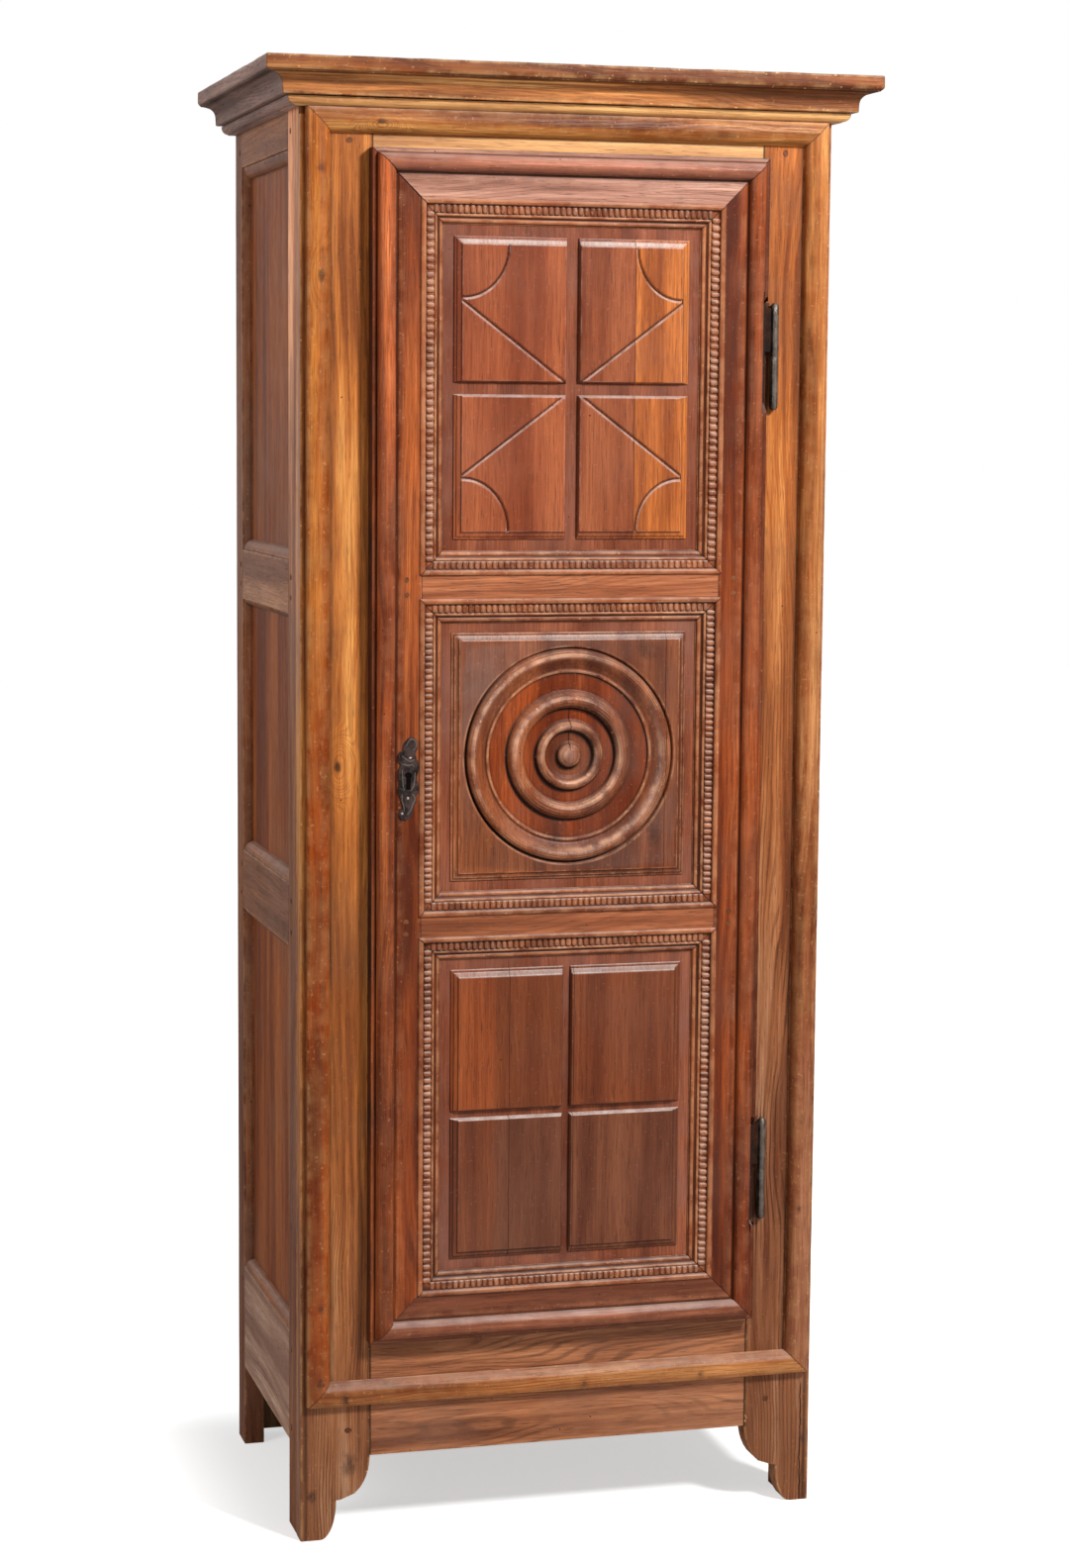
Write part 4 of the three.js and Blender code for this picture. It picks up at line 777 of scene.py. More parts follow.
crown = [(0.0, 1952.0), (12.0, 1952.0), (27.0, 1952.0)]
crown += curve(27.0, 1953.2, 1.2, 1.2, -0.25, 0.0, 3)
crown += [(28.4, 1958.0), (28.8, 1964.0)]
crown += curve(50.8, 1964.4, -21.8, 14.6, 0.01, 0.25, 12)
crown += [(51.4, 1979.6)]
crown += curve(50.2, 1985.2, 4.7, 5.2, -0.2, 0.0, 5)
crown += [(54.95, 1990.0), (54.8, 1996.0)]
crown += curve(52.4, 1997.2, 2.4, 2.6, 0.0, 0.25, 4)
crown += [(46.0, 1999.8), (30.0, 1999.8), (0.0, 1999.8)]
bed = [(0.0, 1939.0), (8.5, 1939.0), (10.4, 1939.2)]
bed += curve(10.6, 1949.4, 9.6, 9.4, -0.25, 0.0, 8)
bed += [(20.4, 1950.0), (20.8, 1950.6), (19.0, 1951.0), (0.0, 1951.0)]
worn_cornice = dict(wear_and_highlight=(236, 184, 126), dirt_and_shade=(60, 32, 18), dull=(112, 66, 40), rings=75.0, wander=8.0,
                    stain=0.4, wear_and_highlight_share=0.35, lines=0.35)
# The casts paint the front crown's hollow and foot lighter than its fascia, and the whole bed moulding
# brighter: painted light, standing in for the light they catch
cornice_front = {
    "crown": old_wood("crown_front_wood", (80, 36, 14), (140, 74, 33), (200, 130, 70), cast=(2.6, 3.7, 4.8),
                      knot=(0.33, 0.032, 0.0), knot_size=0.005, **worn_cornice),
    "bed": old_wood("bed_front_wood", (168, 108, 62), (228, 168, 104), (246, 206, 148),
                    cast=(1.3, 1.5, 1.6), **worn_cornice),
}
cornice_side = old_wood("cornice_side_wood", (124, 92, 82), (182, 144, 131), (218, 182, 166),
                        wear_and_highlight=(160, 122, 100), dirt_and_shade=(44, 32, 27), dull=(118, 102, 96), rings=75.0,
                        wander=6.0, stain=0.5, gloss=0.6, lines=0.35)
fascia_foot, fascia_level, crown_top = 37.0, 1.9815, 1.9955
for part, outline, reach in (("crown", crown, 3.0), ("bed", bed, 2.2)):
    left_corner, right_corner = case_place(0, 0, 0), case_place(case_wide, 0, 0)
    runs = [("front", left_corner, across_case, to_front, case_wide, (-1, -1)),
            ("left", left_corner, back_case, to_left, case_deep, (-1, 0)),
            ("right", right_corner, back_case, across_case, case_deep, (-1, 0))]
    for side, corner, along, out_axis, length, mitres in runs:
        wood, slot = (cornice_front[part], "case_wood") if side == "front" else (cornice_side, "side_wood")
        shell = run_of(outline, corner, along, out_axis, up, length, mitres, step=12.0, swell=0.0,
                       seed=6.0 + length / 99, reach=reach)
        points, out_axis = shell[0], np.array(out_axis, float)
        outness = np.abs((points * 1000.0 - corner) @ out_axis)
        # Painted shadow at the top of the crown's hollow, under the fascia's nose
        if part == "crown":
            under_fascia_shadow = np.clip((outness - fascia_foot) / 8.0, 0, 1)
            under_fascia_shadow *= np.clip((fascia_level - points[:, 2]) / 0.0012, 0, 1)
            shell[4][:] = np.maximum(shell[4], under_fascia_shadow * 0.95)
        crown_share = np.clip(outness / crown_reach, 0, 1)
        points += (uneven(points, 0.0007, 8.0) * crown_share)[:, None] * out_axis
        topmost = points[:, 2] > crown_top
        points[topmost, 2] -= np.clip(uneven(points[topmost], 0.0016, 11.0), 0, 0.002)
        piece(f"cornice_{part}_{side}_run", [shell], wood, "case", [f"cornice_{part}_{side}"],
              tint=np.clip((46.0 - outness) / 6.0, 0, 1))


# Front moulding
# A bold half-round planted on the face of the case in four mitred lengths, nailed and pegged.
# It has the warmest wax, worn pale along its crest; the posts are darkened in the corner against it, as dirt
# and painted shade.
half_round = [(0.0, 0.0), (0.0, 4.0), (0.2, 9.0)]
half_round += curve(16.5, 9.6, -16.2, 7.4, 0.02, 0.25, 9)
half_round += curve(16.5, 1.2, 15.6, 15.8, 0.25, 0.03, 9)[1:]
half_round += [(32.6, 1.4), (33.0, 0.0)]
worn_moulding = dict(wear_and_highlight=(236, 182, 118), dirt_and_shade=(50, 27, 15), dull=(118, 70, 40), gloss=0.36, wear_and_highlight_share=0.5,
                     stain=0.4)
moulding_wood = {
    "left": old_wood("front_moulding_wood_left", (120, 58, 20), (179, 97, 36), (224, 146, 66),
                     **worn_moulding, rings=75.0, wander=9.0, knot=(1.53, 0.018, 0.0), knot_size=0.006,
                     cast=(0.54, 0.28, 0.14), lines=0.35,
                     blots=((-0.345, 0.226, 0.008, 0.8), (-0.343, 0.331, 0.007, 0.7),
                            (-0.345, 1.86, 0.007, 0.6))),
    "top": old_wood("front_moulding_wood_top", (96, 44, 16), (162, 94, 42), (228, 160, 86), **worn_moulding,
                    rings=70.0, wander=8.0, knot=(0.1, 0.018, 0.0), knot_size=0.005, lines=0.4),
    "right": old_wood("front_moulding_wood_right", (112, 54, 22), (184, 108, 53), (236, 166, 96),
                      **worn_moulding, rings=70.0, wander=8.0, cast=(0.46, 0.4, 0.68), lines=0.35,
                      blots=((0.343, 0.43, 0.005, 0.7),)),
    "bottom": old_wood("front_moulding_wood_bottom", (121, 61, 26), (172, 100, 50), (212, 144, 84),
                       **worn_moulding, rings=70.0, wander=8.0, lines=0.5, upward_dust_and_sheen=0.28,
                       blots=((-0.31, 0.2, 0.008, 0.85), (0.03, 0.2, 0.008, 0.6), (0.2, 0.2, 0.007, 0.6))),
}
frame_left, frame_low, frame_wide, frame_tall = 7.0, 190.0, 724.0, 1749.0
frame_right, frame_top = frame_left + frame_wide, frame_low + frame_tall
members = [("left", (frame_left, 0, frame_low), up, across_case, frame_tall, 0.0),
           ("top", (frame_left, 0, frame_top), across_case, down, frame_wide, 0.0),
           ("right", (frame_right, 0, frame_low), up, to_left, frame_tall, 9.0),
           ("bottom", (frame_left, 0, frame_low), across_case, up, frame_wide, 10.0)]
for side, corner, along, across, length, seed in members:
    shell = run_of(half_round, case_place(*corner), along, across, to_front, length, (1, 1), step=13.0,
                   swell=0.7, seed=seed)
    piece(f"front_moulding_{side}_run", [shell], moulding_wood[side], "case",
          [f"front_moulding_{side}"],
          tint=np.clip((1.62 - shell[0][:, 2]) / (0.6 if side == "left" else 1.0), 0, 1))


# Back boards
# Four rough sawn boards nailed upright on the back rails, with open joints between them. Bare
# wood, never planed or waxed.
raw = dict(dark=(108, 76, 50), mid=(146, 110, 76), light=(176, 140, 102), wear_and_highlight=(184, 150, 114),
           dirt_and_shade=(52, 36, 26), dull=(118, 98, 80), stain=0.5, gloss=0.72)
raw_board = old_wood("raw_board_wood", **raw, rings=42.0, wander=8.0, relief=0.5)
edges = [30.6, 186.0, 371.0, 533.0, 707.4]
open_joint = 0.8
for i in range(4):
    low, high = 10.0 + (i * 7) % 5, case_high - (i * 5) % 7
    board(f"back_board_{i + 1}", (edges[i] + open_joint, 472.0, low),
          (edges[i + 1] - open_joint, case_deep - 0.4, high), "Z", raw_board, "case",
          ["back_boards"], seed=20.0 + 3.1 * i, swell=0.4, radius=1.6)


# Lid
# Three loose boards that lie on the posts inside the cornice, side by side from front to back.
# The same bare wood, dusty and unplaned.
edges = [0.4, 158.0, 331.0, 485.6]
open_joint = 0.7
for i in range(3):
    board(f"lid_board_{i + 1}", (0.4, edges[i] + open_joint, case_high + 0.2),
          (case_wide - 0.4, edges[i + 1] - open_joint, 1996.8), "X", raw_board, "case",
          ["top_board"], seed=31.0 + 2.7 * i, swell=0.4, radius=1.6)


# Inside
# Floor board, shelves on their battens and the two back rails: planed once, never waxed. Their
# shapes are the model's own, with softened arrises.
def bevelled(made, name, width):
    soft = made.modifiers.new(name, "BEVEL")
    soft.width = width
    soft.segments = 2
    soft.limit_method = "ANGLE"


def softened(node, material, name, width):
    """Gives one of the model's own shapes its material and soft edges."""
    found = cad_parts[node]
    found.data.materials.clear()
    found.data.materials.append(material)
    weld = found.modifiers.new("weld", "WELD")
    weld.merge_threshold = 0.00002
    bevelled(found, name, width)


inside = {"X": ["floor_board", "shelf_lower", "shelf_upper", "back_bottom_rail", "back_top_rail"],
          "Y": ["shelf_lower_batten_left", "shelf_lower_batten_right", "shelf_upper_batten_left",
                "shelf_upper_batten_right"]}
for axis, nodes in inside.items():
    raw_wood = old_wood(f"raw_wood_{axis.lower()}", **raw, rings=45.0, wander=7.0, along=axis, relief=0.5)
    for node in nodes:
        softened(node, raw_wood, "arris", 0.0012)


# Door frame
# Two stiles and two rails, mitred at the corners, each worked with a lip that laps over the
# posts, a fillet, a bold torus and a wide flat. Red-brown waxed wood, pale in the open mitres.
worn_red = dict(wear_and_highlight=(206, 140, 100), dirt_and_shade=(32, 16, 11), dull=(112, 70, 52))
member = [(0.0, 1.0), (0.0, 12.0), (0.0, 20.6)]
member += curve(1.2, 20.6, -1.2, 1.4, 0.0, 0.25, 3)[1:]
member += [(4.0, 22.3), (6.3, 22.0), (7.0, 21.4)]
member += curve(18.8, 23.6, -11.9, 14.4, 0.02, 0.25, 11)
member += curve(18.8, 28.4, 11.6, 9.6, 0.25, 0.0, 9)[1:]
member += [(30.5, 26.4), (31.1, 25.2), (32.4, 24.9), (34.0, 25.6), (35.4, 26.7), (37.0, 27.0), (48.0, 27.0),
           (62.0, 27.0)]
member += curve(66.4, 25.8, 1.1, 1.2, 0.25, 0.0, 3)
member += [(67.5, 15.3), (59.2, 15.3), (59.2, 2.7), (67.5, 2.7), (67.5, -7.0), (66.5, -8.0), (7.5, -8.0),
           (6.5, -7.0), (6.5, 1.0)]
door_woods = {
    "lock": old_wood("door_wood_lock", (84, 34, 14), (143, 67, 30), (198, 106, 52), **worn_red, rings=48,
                     wander=9.0, stain=0.35, gloss=0.34, cast=(1.9, 2.05, 2.3), lines=0.25),
    # The door's top rail is paler and greyer, partly paler wood and partly painted sheen; its cast darkens
    # the torus as painted shade
    "top": old_wood("door_wood_top", (124, 80, 64), (173, 122, 102), (214, 162, 138), **worn_red, rings=62,
                    wander=8.0, stain=0.25, gloss=0.34, cast=(0.8, 0.52, 0.42), upward_dust_and_sheen=0.35, lines=0.25),
    "hinge": old_wood("door_wood_hinge", (78, 30, 12), (126, 55, 23), (170, 84, 40), **worn_red, rings=52,
                      wander=6.0, stain=0.4, gloss=0.34, cast=(1.0, 1.0, 1.0), lines=0.25),
    "bottom": old_wood("door_wood_bottom", (100, 52, 33), (145, 84, 58), (184, 114, 82), **worn_red,
                       rings=60, wander=7.0, stain=0.4, gloss=0.34, cast=(1.0, 0.95, 0.95), upward_dust_and_sheen=0.5,
                       lines=0.25),
    "mid": old_wood("door_wood_mid", (113, 60, 36), (163, 95, 61), (206, 130, 88), **worn_red, rings=66,
                    wander=9.0, stain=0.25, gloss=0.34, lines=0.25),
}
door_left, door_low, door_wide, door_tall = 92.0, 277.5, 551.0, 1610.0
door_right, door_top = door_left + door_wide, door_low + door_tall
members = [("stile_lock", "lock", (door_left, 0, door_low), up, across_case, door_tall),
           ("top_rail", "top", (door_left, 0, door_top), across_case, down, door_wide),
           ("stile_hinge", "hinge", (door_right, 0, door_low), up, to_left, door_tall),
           ("bottom_rail", "bottom", (door_left, 0, door_low), across_case, up, door_wide)]
hinge_middles = {"upper": 1622.0, "lower": 490.0}
recess_half, recess_wide, recess_back = 74.6, 11.2, -0.2255
recess_stops = [middle - door_low + side * reach for middle in hinge_middles.values() for side in (-1, 1)
                for reach in (74.3, 75.0)]
over = np.array([across for across, _ in member])
torus = ((over > 6.9) & (over < 31.0)).astype(float)
for i, (name, wood, corner, along, across, length) in enumerate(members):
    first_mitre = 1.022 if name == "top_rail" else 1
    shell = run_of(member, case_place(*corner), along, across, to_front, length, (first_mitre, 1),
                   step=13.0, swell=0.5, seed=40.0 + 1.7 * i, reach=2.6, gap=(0.3, 0.3),
                   stops=recess_stops if name == "stile_hinge" else ())
    crest, grime_and_shade = (shell[k].reshape(-1, len(member)) for k in (3, 4))
    spots = shell[0].reshape(*grime_and_shade.shape, 3)
    crest[:, :5] *= 0.0
    crest[:, 5:8] *= 0.4
    # The lip's outer flank is darkened: painted shade beside the door
    grime_and_shade[:, :6] = np.maximum(grime_and_shade[:, :6], [1.3, 1.3, 1.3, 1.2, 0.9, 0.5])
    red = torus[None, :] * np.ones(crest.shape)
    # The top rail's torus darkens towards its underside: painted shade
    if name == "top_rail":
        grime_and_shade += (torus * np.clip((over - 17.0) / 12.0, 0, 1) ** 1.3 * 0.8)[None, :]
    # The lock stile's torus turns lighter towards the top by its tint, and darker towards the bottom
    if name == "stile_lock":
        red *= np.clip((spots[..., 2] - 0.9) / 0.45, 0, 1)
        grime_and_shade += torus[None, :] * 0.5 * np.clip((1.2 - spots[..., 2]) / 0.6, 0, 1)
    # Each hinge recess is darkened inside: painted shade
    if name == "stile_hinge":
        for middle in hinge_middles.values():
            cut = (np.abs(spots[..., 2] - middle / 1000.0) < recess_half / 1000.0)
            cut &= (over < recess_wide)[None, :] & (spots[..., 1] < recess_back)
            spots[cut, 1] = recess_back
            grime_and_shade[cut] = 1.5
            crest[cut] = 0.0
    piece(f"door_{name}_run", [shell], door_woods[wood], "door", [f"door_{name}"], tint=red)
for name, low, high, seed in (("lower", 835.25, 869.75, 51.0), ("upper", 1292.25, 1329.75, 53.3)):
    board(f"door_{name}_mid_rail_board", (159.2, -27.0, low), (575.8, 8.0, high), "X", door_woods["mid"],
          "door", [f"door_{name}_mid_rail"], seed=seed)


# Panel mouldings
# Mitred strips nailed round each panel: an outer bead, a flat band that carries the reeding,
# and two small beads that step down to the panel.
strip = [(0.3, 15.5), (0.3, 26.5), (-3.1, 26.5), (-3.1, 28.0)]
strip += curve(0.4, 28.6, -3.3, 2.4, 0.02, 0.5, 9)
strip += [(4.0, 26.4), (4.5, 25.0), (9.0, 24.5), (15.2, 23.9), (15.8, 22.9)]
strip += curve(17.8, 22.6, -1.9, 2.0, 0.02, 0.46, 6)
strip += [(20.0, 20.9), (21.0, 20.2), (21.8, 20.1)]
strip += curve(24.8, 18.6, -2.8, 2.5, 0.08, 0.46, 7)
strip += [(28.2, 16.9), (29.4, 16.5), (29.4, 15.5)]
strip_wood = old_wood("panel_moulding_wood", (106, 50, 26), (150, 80, 46), (186, 110, 68),
                      wear_and_highlight=(212, 154, 112), dirt_and_shade=(26, 13, 9), dull=(112, 70, 50), rings=90.0, wander=4.0,
                      stain=0.35, gloss=0.34, wear_and_highlight_share=0.5, grime_and_shade_depth=1.0, upward_dust_and_sheen=0.4)
opening_left, opening_right = 159.5, 575.5
openings = {"lower": (345.0, 835.25), "middle": (869.75, 1292.25), "upper": (1329.75, 1820.0)}
for i, (name, (low, high)) in enumerate(openings.items()):
    wide = opening_right - opening_left
    runs = [((opening_left, 0, low), up, across_case, high - low),
            ((opening_left, 0, high), across_case, down, wide),
            ((opening_right, 0, low), up, to_left, high - low),
            ((opening_left, 0, low), across_case, up, wide)]
    shells = [run_of(strip, case_place(*corner), along, across, to_front, length, (1, 1), step=14.0,
                     seed=60.0 + 5 * i + j, reach=1.5, gap=(0.3, 0.3))
              for j, (corner, along, across, length) in enumerate(runs)]
    piece(f"door_{name}_panel_moulding_strips", shells, strip_wood, "door",
          [f"door_{name}_panel_moulding"])


# Reeding
# Short convex reeds cut across the band of each panel moulding, by eye, so they vary a little
# in pitch, width and height. Built as instances along the middle line of each band.
def growing_tree(name, sizes, seed):
    """A geometry tree with named inputs for its sizes and its seed."""
    tree = bpy.data.node_groups.new(name, "GeometryNodeTree")
    kinds = {float: "NodeSocketFloat", tuple: "NodeSocketVector"}
    tree.interface.new_socket("Geometry", in_out="INPUT", socket_type="NodeSocketGeometry")
    for size, value in sizes.items():
        made = tree.interface.new_socket(size, in_out="INPUT", socket_type=kinds[type(value)])
        made.default_value = value
    made = tree.interface.new_socket("Seed", in_out="INPUT", socket_type="NodeSocketInt")
    made.default_value = seed
    tree.interface.new_socket("Geometry", in_out="OUTPUT", socket_type="NodeSocketGeometry")
    start = tree.nodes.new("NodeGroupInput")
    end = tree.nodes.new("NodeGroupOutput")
    return tree, start.outputs, end


def varied(tree, seed, smallest, largest):
    """A random scale for each instance."""
    vary = put(tree, "FunctionNodeRandomValue", {"Seed": seed}, data_type="FLOAT_VECTOR")
    vary.inputs[0].default_value = smallest
    vary.inputs[1].default_value = largest
    return vary.outputs[0]


def spread_over(tree, points, instance, turned, scale):
    """Instances on points, made real."""
    spread = put(tree, "GeometryNodeInstanceOnPoints", {"Points": points, "Instance": instance,
                                                        "Rotation": turned, "Scale": scale})
    return put(tree, "GeometryNodeRealizeInstances", {"Geometry": spread.outputs[0]})


def closed_with(tree, end, whole, material, smooth=True):
    whole = put(tree, "GeometryNodeSetShadeSmooth", {"Geometry": whole.outputs[0], "Shade Smooth": smooth})
    whole = put(tree, "GeometryNodeSetMaterial", {"Geometry": whole.outputs[0], "Material": material})
    tree.links.new(whole.outputs[0], end.inputs[0])


def reeding_tree(material):
    sizes = {"Pitch": 0.0083, "Reed Width": 0.0062, "Reed Length": 0.0112, "Rise": 0.85}
    tree, get, end = growing_tree("reeding", sizes, 3)
    line = put(tree, "GeometryNodeMeshToCurve", {"Mesh": get["Geometry"]})
    line = put(tree, "GeometryNodeResampleCurve", {"Curve": line.outputs[0], "Length": get["Pitch"]},
               mode="LENGTH")
    tangent = put(tree, "GeometryNodeInputTangent").outputs[0]
    cross = vector_sum(tree, "CROSS_PRODUCT", tangent, (0.0, 1.0, 0.0))
    turned = put(tree, "FunctionNodeAlignRotationToVector", {"Vector": cross}, axis="Z").outputs[0]
    radius = sum_of(tree, "MULTIPLY", get["Reed Width"], 0.5)
    reed = put(tree, "GeometryNodeMeshCylinder", {"Vertices": 12, "Side Segments": 5, "Radius": radius,
                                                  "Depth": get["Reed Length"]}, fill_type="NGON")

    # Each reed is a cylinder that slims to a lens at both ends
    where = put(tree, "GeometryNodeInputPosition").outputs[0]
    split = put(tree, "ShaderNodeSeparateXYZ", {0: where})
    share = sum_of(tree, "DIVIDE", split.outputs[2], get["Reed Length"])
    share = sum_of(tree, "ABSOLUTE", sum_of(tree, "MULTIPLY", share, 2.0))
    slim = sum_of(tree, "MULTIPLY_ADD", sum_of(tree, "POWER", share, 5.0), -0.3, 1.0)
    rise = sum_of(tree, "MULTIPLY", slim, get["Rise"])
    lens_scale = put(tree, "ShaderNodeCombineXYZ", {0: slim, 1: rise, 2: 1.0}).outputs[0]
    shaped = scaled(tree, where, lens_scale)
    reed = put(tree, "GeometryNodeSetPosition", {"Geometry": reed.outputs["Mesh"], "Position": shaped})
    scale = varied(tree, get["Seed"], (0.86, 0.86, 0.97), (1.1, 1.1, 1.02))
    whole = spread_over(tree, line.outputs[0], reed.outputs[0], turned, scale)

    # Crests are paled as wear and painted highlight, and gaps between reeds darkened as dirt and painted
    # shade
    where = put(tree, "GeometryNodeInputPosition").outputs[0]
    depth = put(tree, "ShaderNodeSeparateXYZ", {0: where}).outputs[1]
    for name, start_depth, end_depth, low, high in (("crest", -0.2408, -0.2428, 0.0, 1.0),
                                                    ("grime_and_shade", -0.2402, -0.2414, 1.0, 0.0)):
        wear = faded(tree, depth, start_depth, end_depth, low, high, "LINEAR")
        whole = put(tree, "GeometryNodeStoreNamedAttribute",
                    {"Geometry": whole.outputs[0], "Name": name, "Value": wear},
                    data_type="FLOAT", domain="POINT")
    closed_with(tree, end, whole, material)
    return tree


def grown_from(name, lines, tree, sizes, body):
    """Runs a geometry tree on loose lines or points and keeps the result as a plain mesh."""
    verts, links = [], []
    for line in lines:
        base = len(verts)
        verts.extend(line)
        links.extend((base + i, base + i + 1) for i in range(len(line) - 1))
    seed_mesh = bpy.data.meshes.new(name + "_lines")
    seed_mesh.from_pydata([tuple(v) for v in verts], links, [])
    seed = set_down(name + "_lines", seed_mesh)
    modifier = seed.modifiers.new("growth", "NODES")
    modifier.node_group = tree
    for item in tree.interface.items_tree:
        if item.in_out == "INPUT" and item.name in sizes:
            modifier[item.identifier] = sizes[item.name]
    graph = bpy.context.evaluated_depsgraph_get()
    mesh = bpy.data.meshes.new_from_object(seed.evaluated_get(graph), depsgraph=graph)
    seed.modifiers.remove(modifier)
    bpy.data.objects.remove(seed)
    mesh.name = name
    made = set_down(name, mesh)
    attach(made, body)


reed_wood = old_wood("reed_wood", (104, 52, 30), (150, 86, 54), (188, 120, 82), wear_and_highlight=(206, 158, 128),
                     dirt_and_shade=(26, 14, 11), dull=(110, 74, 58), rings=90.0, wander=3.0, stain=0.3, gloss=0.36,
                     wear_and_highlight_share=0.35, grime_and_shade_depth=0.9, upward_dust_and_sheen=0.8, along="Y")
reeding = reeding_tree(reed_wood)
upright_pitch = {"upper": 0.0097, "middle": 0.0083, "lower": 0.0092}
level_pitch, reed_long, band, corner_gap, band_out = 0.0082, 0.011, 10.1, 8.0, 24.2
for i, (name, (low, high)) in enumerate(openings.items()):
    x0, x1, z0, z1 = opening_left + band, opening_right - band, low + band, high - band
    upright_lines = [((x, z0 + corner_gap), (x, z1 - corner_gap)) for x in (x0, x1)]
    level_lines = [((x0 + corner_gap, z), (x1 - corner_gap, z)) for z in (z0, z1)]
    for way, lines, pitch, share, rise in (("upright", upright_lines, upright_pitch[name], 0.78, 0.95),
                                           ("level", level_lines, level_pitch, 0.92, 0.68)):
        strokes = [[case_place(x, -band_out, z) / 1000.0 for x, z in line] for line in lines]
        sizes = {"Pitch": pitch, "Reed Width": pitch * share, "Reed Length": reed_long, "Rise": rise,
                 "Seed": 3 + i}
        grown_from(f"door_{name}_reeding_{way}", strokes, reeding, sizes, "door")


# Door panels
# Each panel is carved from boards glued edge to edge: a flat margin round a raised field with a
# stepped edge. The grain stands upright, and the joints between the boards show as dark lines.
margin_wood = old_wood("panel_margin_wood", (98, 48, 30), (133, 71, 46), (160, 91, 61),
                       wear_and_highlight=(196, 148, 124), dirt_and_shade=(36, 19, 14), dull=(138, 96, 82), rings=50.0,
                       wander=6.0, stain=0.6, gloss=0.36, ring_depth=0.3)
tongue, ground_out, ground_back = 7.5, 15.0, 14.0
for i, (name, (low, high)) in enumerate(openings.items()):
    board(f"door_{name}_panel_ground", (opening_left - tongue, -ground_out, low - tongue),
          (opening_right + tongue, -3.0, high + tongue), "Z", margin_wood, "door",
          [f"door_{name}_panel"], seed=70.0 + 3 * i, swell=0.0)

# Edges of a raised block, from its foot in: how far in, how far out, and how much dirt and painted shade
outer_edge = [(0.0, 15.0, 1.0), (0.3, 16.9, 0.6), (0.7, 17.3, 0.0), (3.2, 17.6, 0.3), (3.7, 17.7, 1.0),
              (4.0, 19.0, 0.4), (4.4, 19.3, 0.0), (6.5, 19.8, 0.0), (9.0, 20.6, 0.5), (9.6, 20.9, 1.0),
              (10.0, 22.4, 0.3), (10.6, 22.9, 0.0), (12.0, 23.0, 0.0)]
inner_edge = [(0.0, 15.0, 1.0), (0.5, 16.2, 0.9), (1.2, 18.4, 0.5), (2.4, 21.6, 0.3), (3.0, 22.6, 0.0),
              (3.6, 22.95, 0.0), (5.0, 23.0, 0.0)]
edge_in, face_out, margin = 12.0, 23.0, 44.5


def stations(low, high, low_edge, high_edge, coarse):
    """Grid lines from one edge of a block to the other: close over the moulded edges, wide between."""
    near = [low + spot[0] for spot in low_edge]
    far = [high - spot[0] for spot in reversed(high_edge)]
    count = max(2, int((far[0] - near[-1]) / coarse))
    return np.array(near + list(np.linspace(near[-1], far[0], count + 1)[1:-1]) + far)


def relief(name, x_lines, z_lines, out_of, wood, seed, snap=None, sharp=60.0):
    """A carved block: a grid of heights, dirt and painted shade, rubbing and painted highlights, and
    dust and painted sheen over X and Z in mm, closed down to the ground."""
    grid_x, grid_z = np.meshgrid(x_lines, z_lines)
    if snap:
        grid_x, grid_z = snap(grid_x, grid_z)
    out, grime_and_shade, crest, dust_and_sheen = out_of(grid_x, grid_z)
    rows, cols = out.shape
    spots = np.stack([grid_x - middle_x, -out - origin_y, grid_z], -1) / 1000.0
    spots[..., 1] += uneven(spots, 0.00018, 14.0)
    index = np.arange(rows * cols).reshape(rows, cols)
    faces = [(index[r, c], index[r, c + 1], index[r + 1, c + 1], index[r + 1, c])
             for r in range(rows - 1) for c in range(cols - 1)]
    rim = list(index[0]) + list(index[1:, -1]) + list(index[-1, -2::-1]) + list(index[-2:0:-1, 0])
    points = spots.reshape(-1, 3)
    back = points[rim].copy()
    back[:, 1] = (-ground_back - origin_y) / 1000.0
    base, count = len(points), len(rim)
    faces += [(rim[k], base + k, base + (k + 1) % count, rim[(k + 1) % count]) for k in range(count)]
    faces.append(tuple(range(base, base + count)))
    points = np.vstack([points, back])
    grain = np.stack([points[:, 2] + seed, points[:, 0] + seed * 0.37, points[:, 1]], 1)
    crest = np.concatenate([crest.ravel(), np.zeros(count)])
    grime_and_shade = np.concatenate([grime_and_shade.ravel(), np.ones(count)])
    dust_and_sheen = np.concatenate([dust_and_sheen.ravel(), np.zeros(count)])
    piece(name, [(points, faces, grain, crest, grime_and_shade)], wood, "door", sharp=sharp, dust_and_sheen=dust_and_sheen)


def edged(x, z, box, edges):
    """Height, dirt and painted shade, rubbing, and dust and painted sheen of a block's moulded edge,
    from whichever side lies lowest. Dust and sheen lie on the top edge only."""
    found, dirt_and_shade, dust_and_sheen = np.full(x.shape, 99.0), np.zeros(x.shape), np.zeros(x.shape)
    for k, distance in enumerate((x - box[0], box[1] - x, z - box[2], box[3] - z)):
        at_top = k == 3
        spots, heights, soil = np.array(edges[k]).T
        height = np.interp(distance, spots, heights)
        lower = height < found - 1e-6
        dirt_and_shade = np.where(lower, np.interp(distance, spots, soil) * (0.6 if at_top else 1.0), dirt_and_shade)
        ledge = np.clip((height - 18.8) / 0.4, 0, 1) * np.clip((22.95 - height) / 0.1, 0, 1)
        dust_and_sheen = np.where(lower, ledge if at_top else 0.0, dust_and_sheen)
        found = np.minimum(found, height)
    return found, dirt_and_shade, np.clip(1 - np.abs(found - 22.72) / 0.26, 0, 1), dust_and_sheen


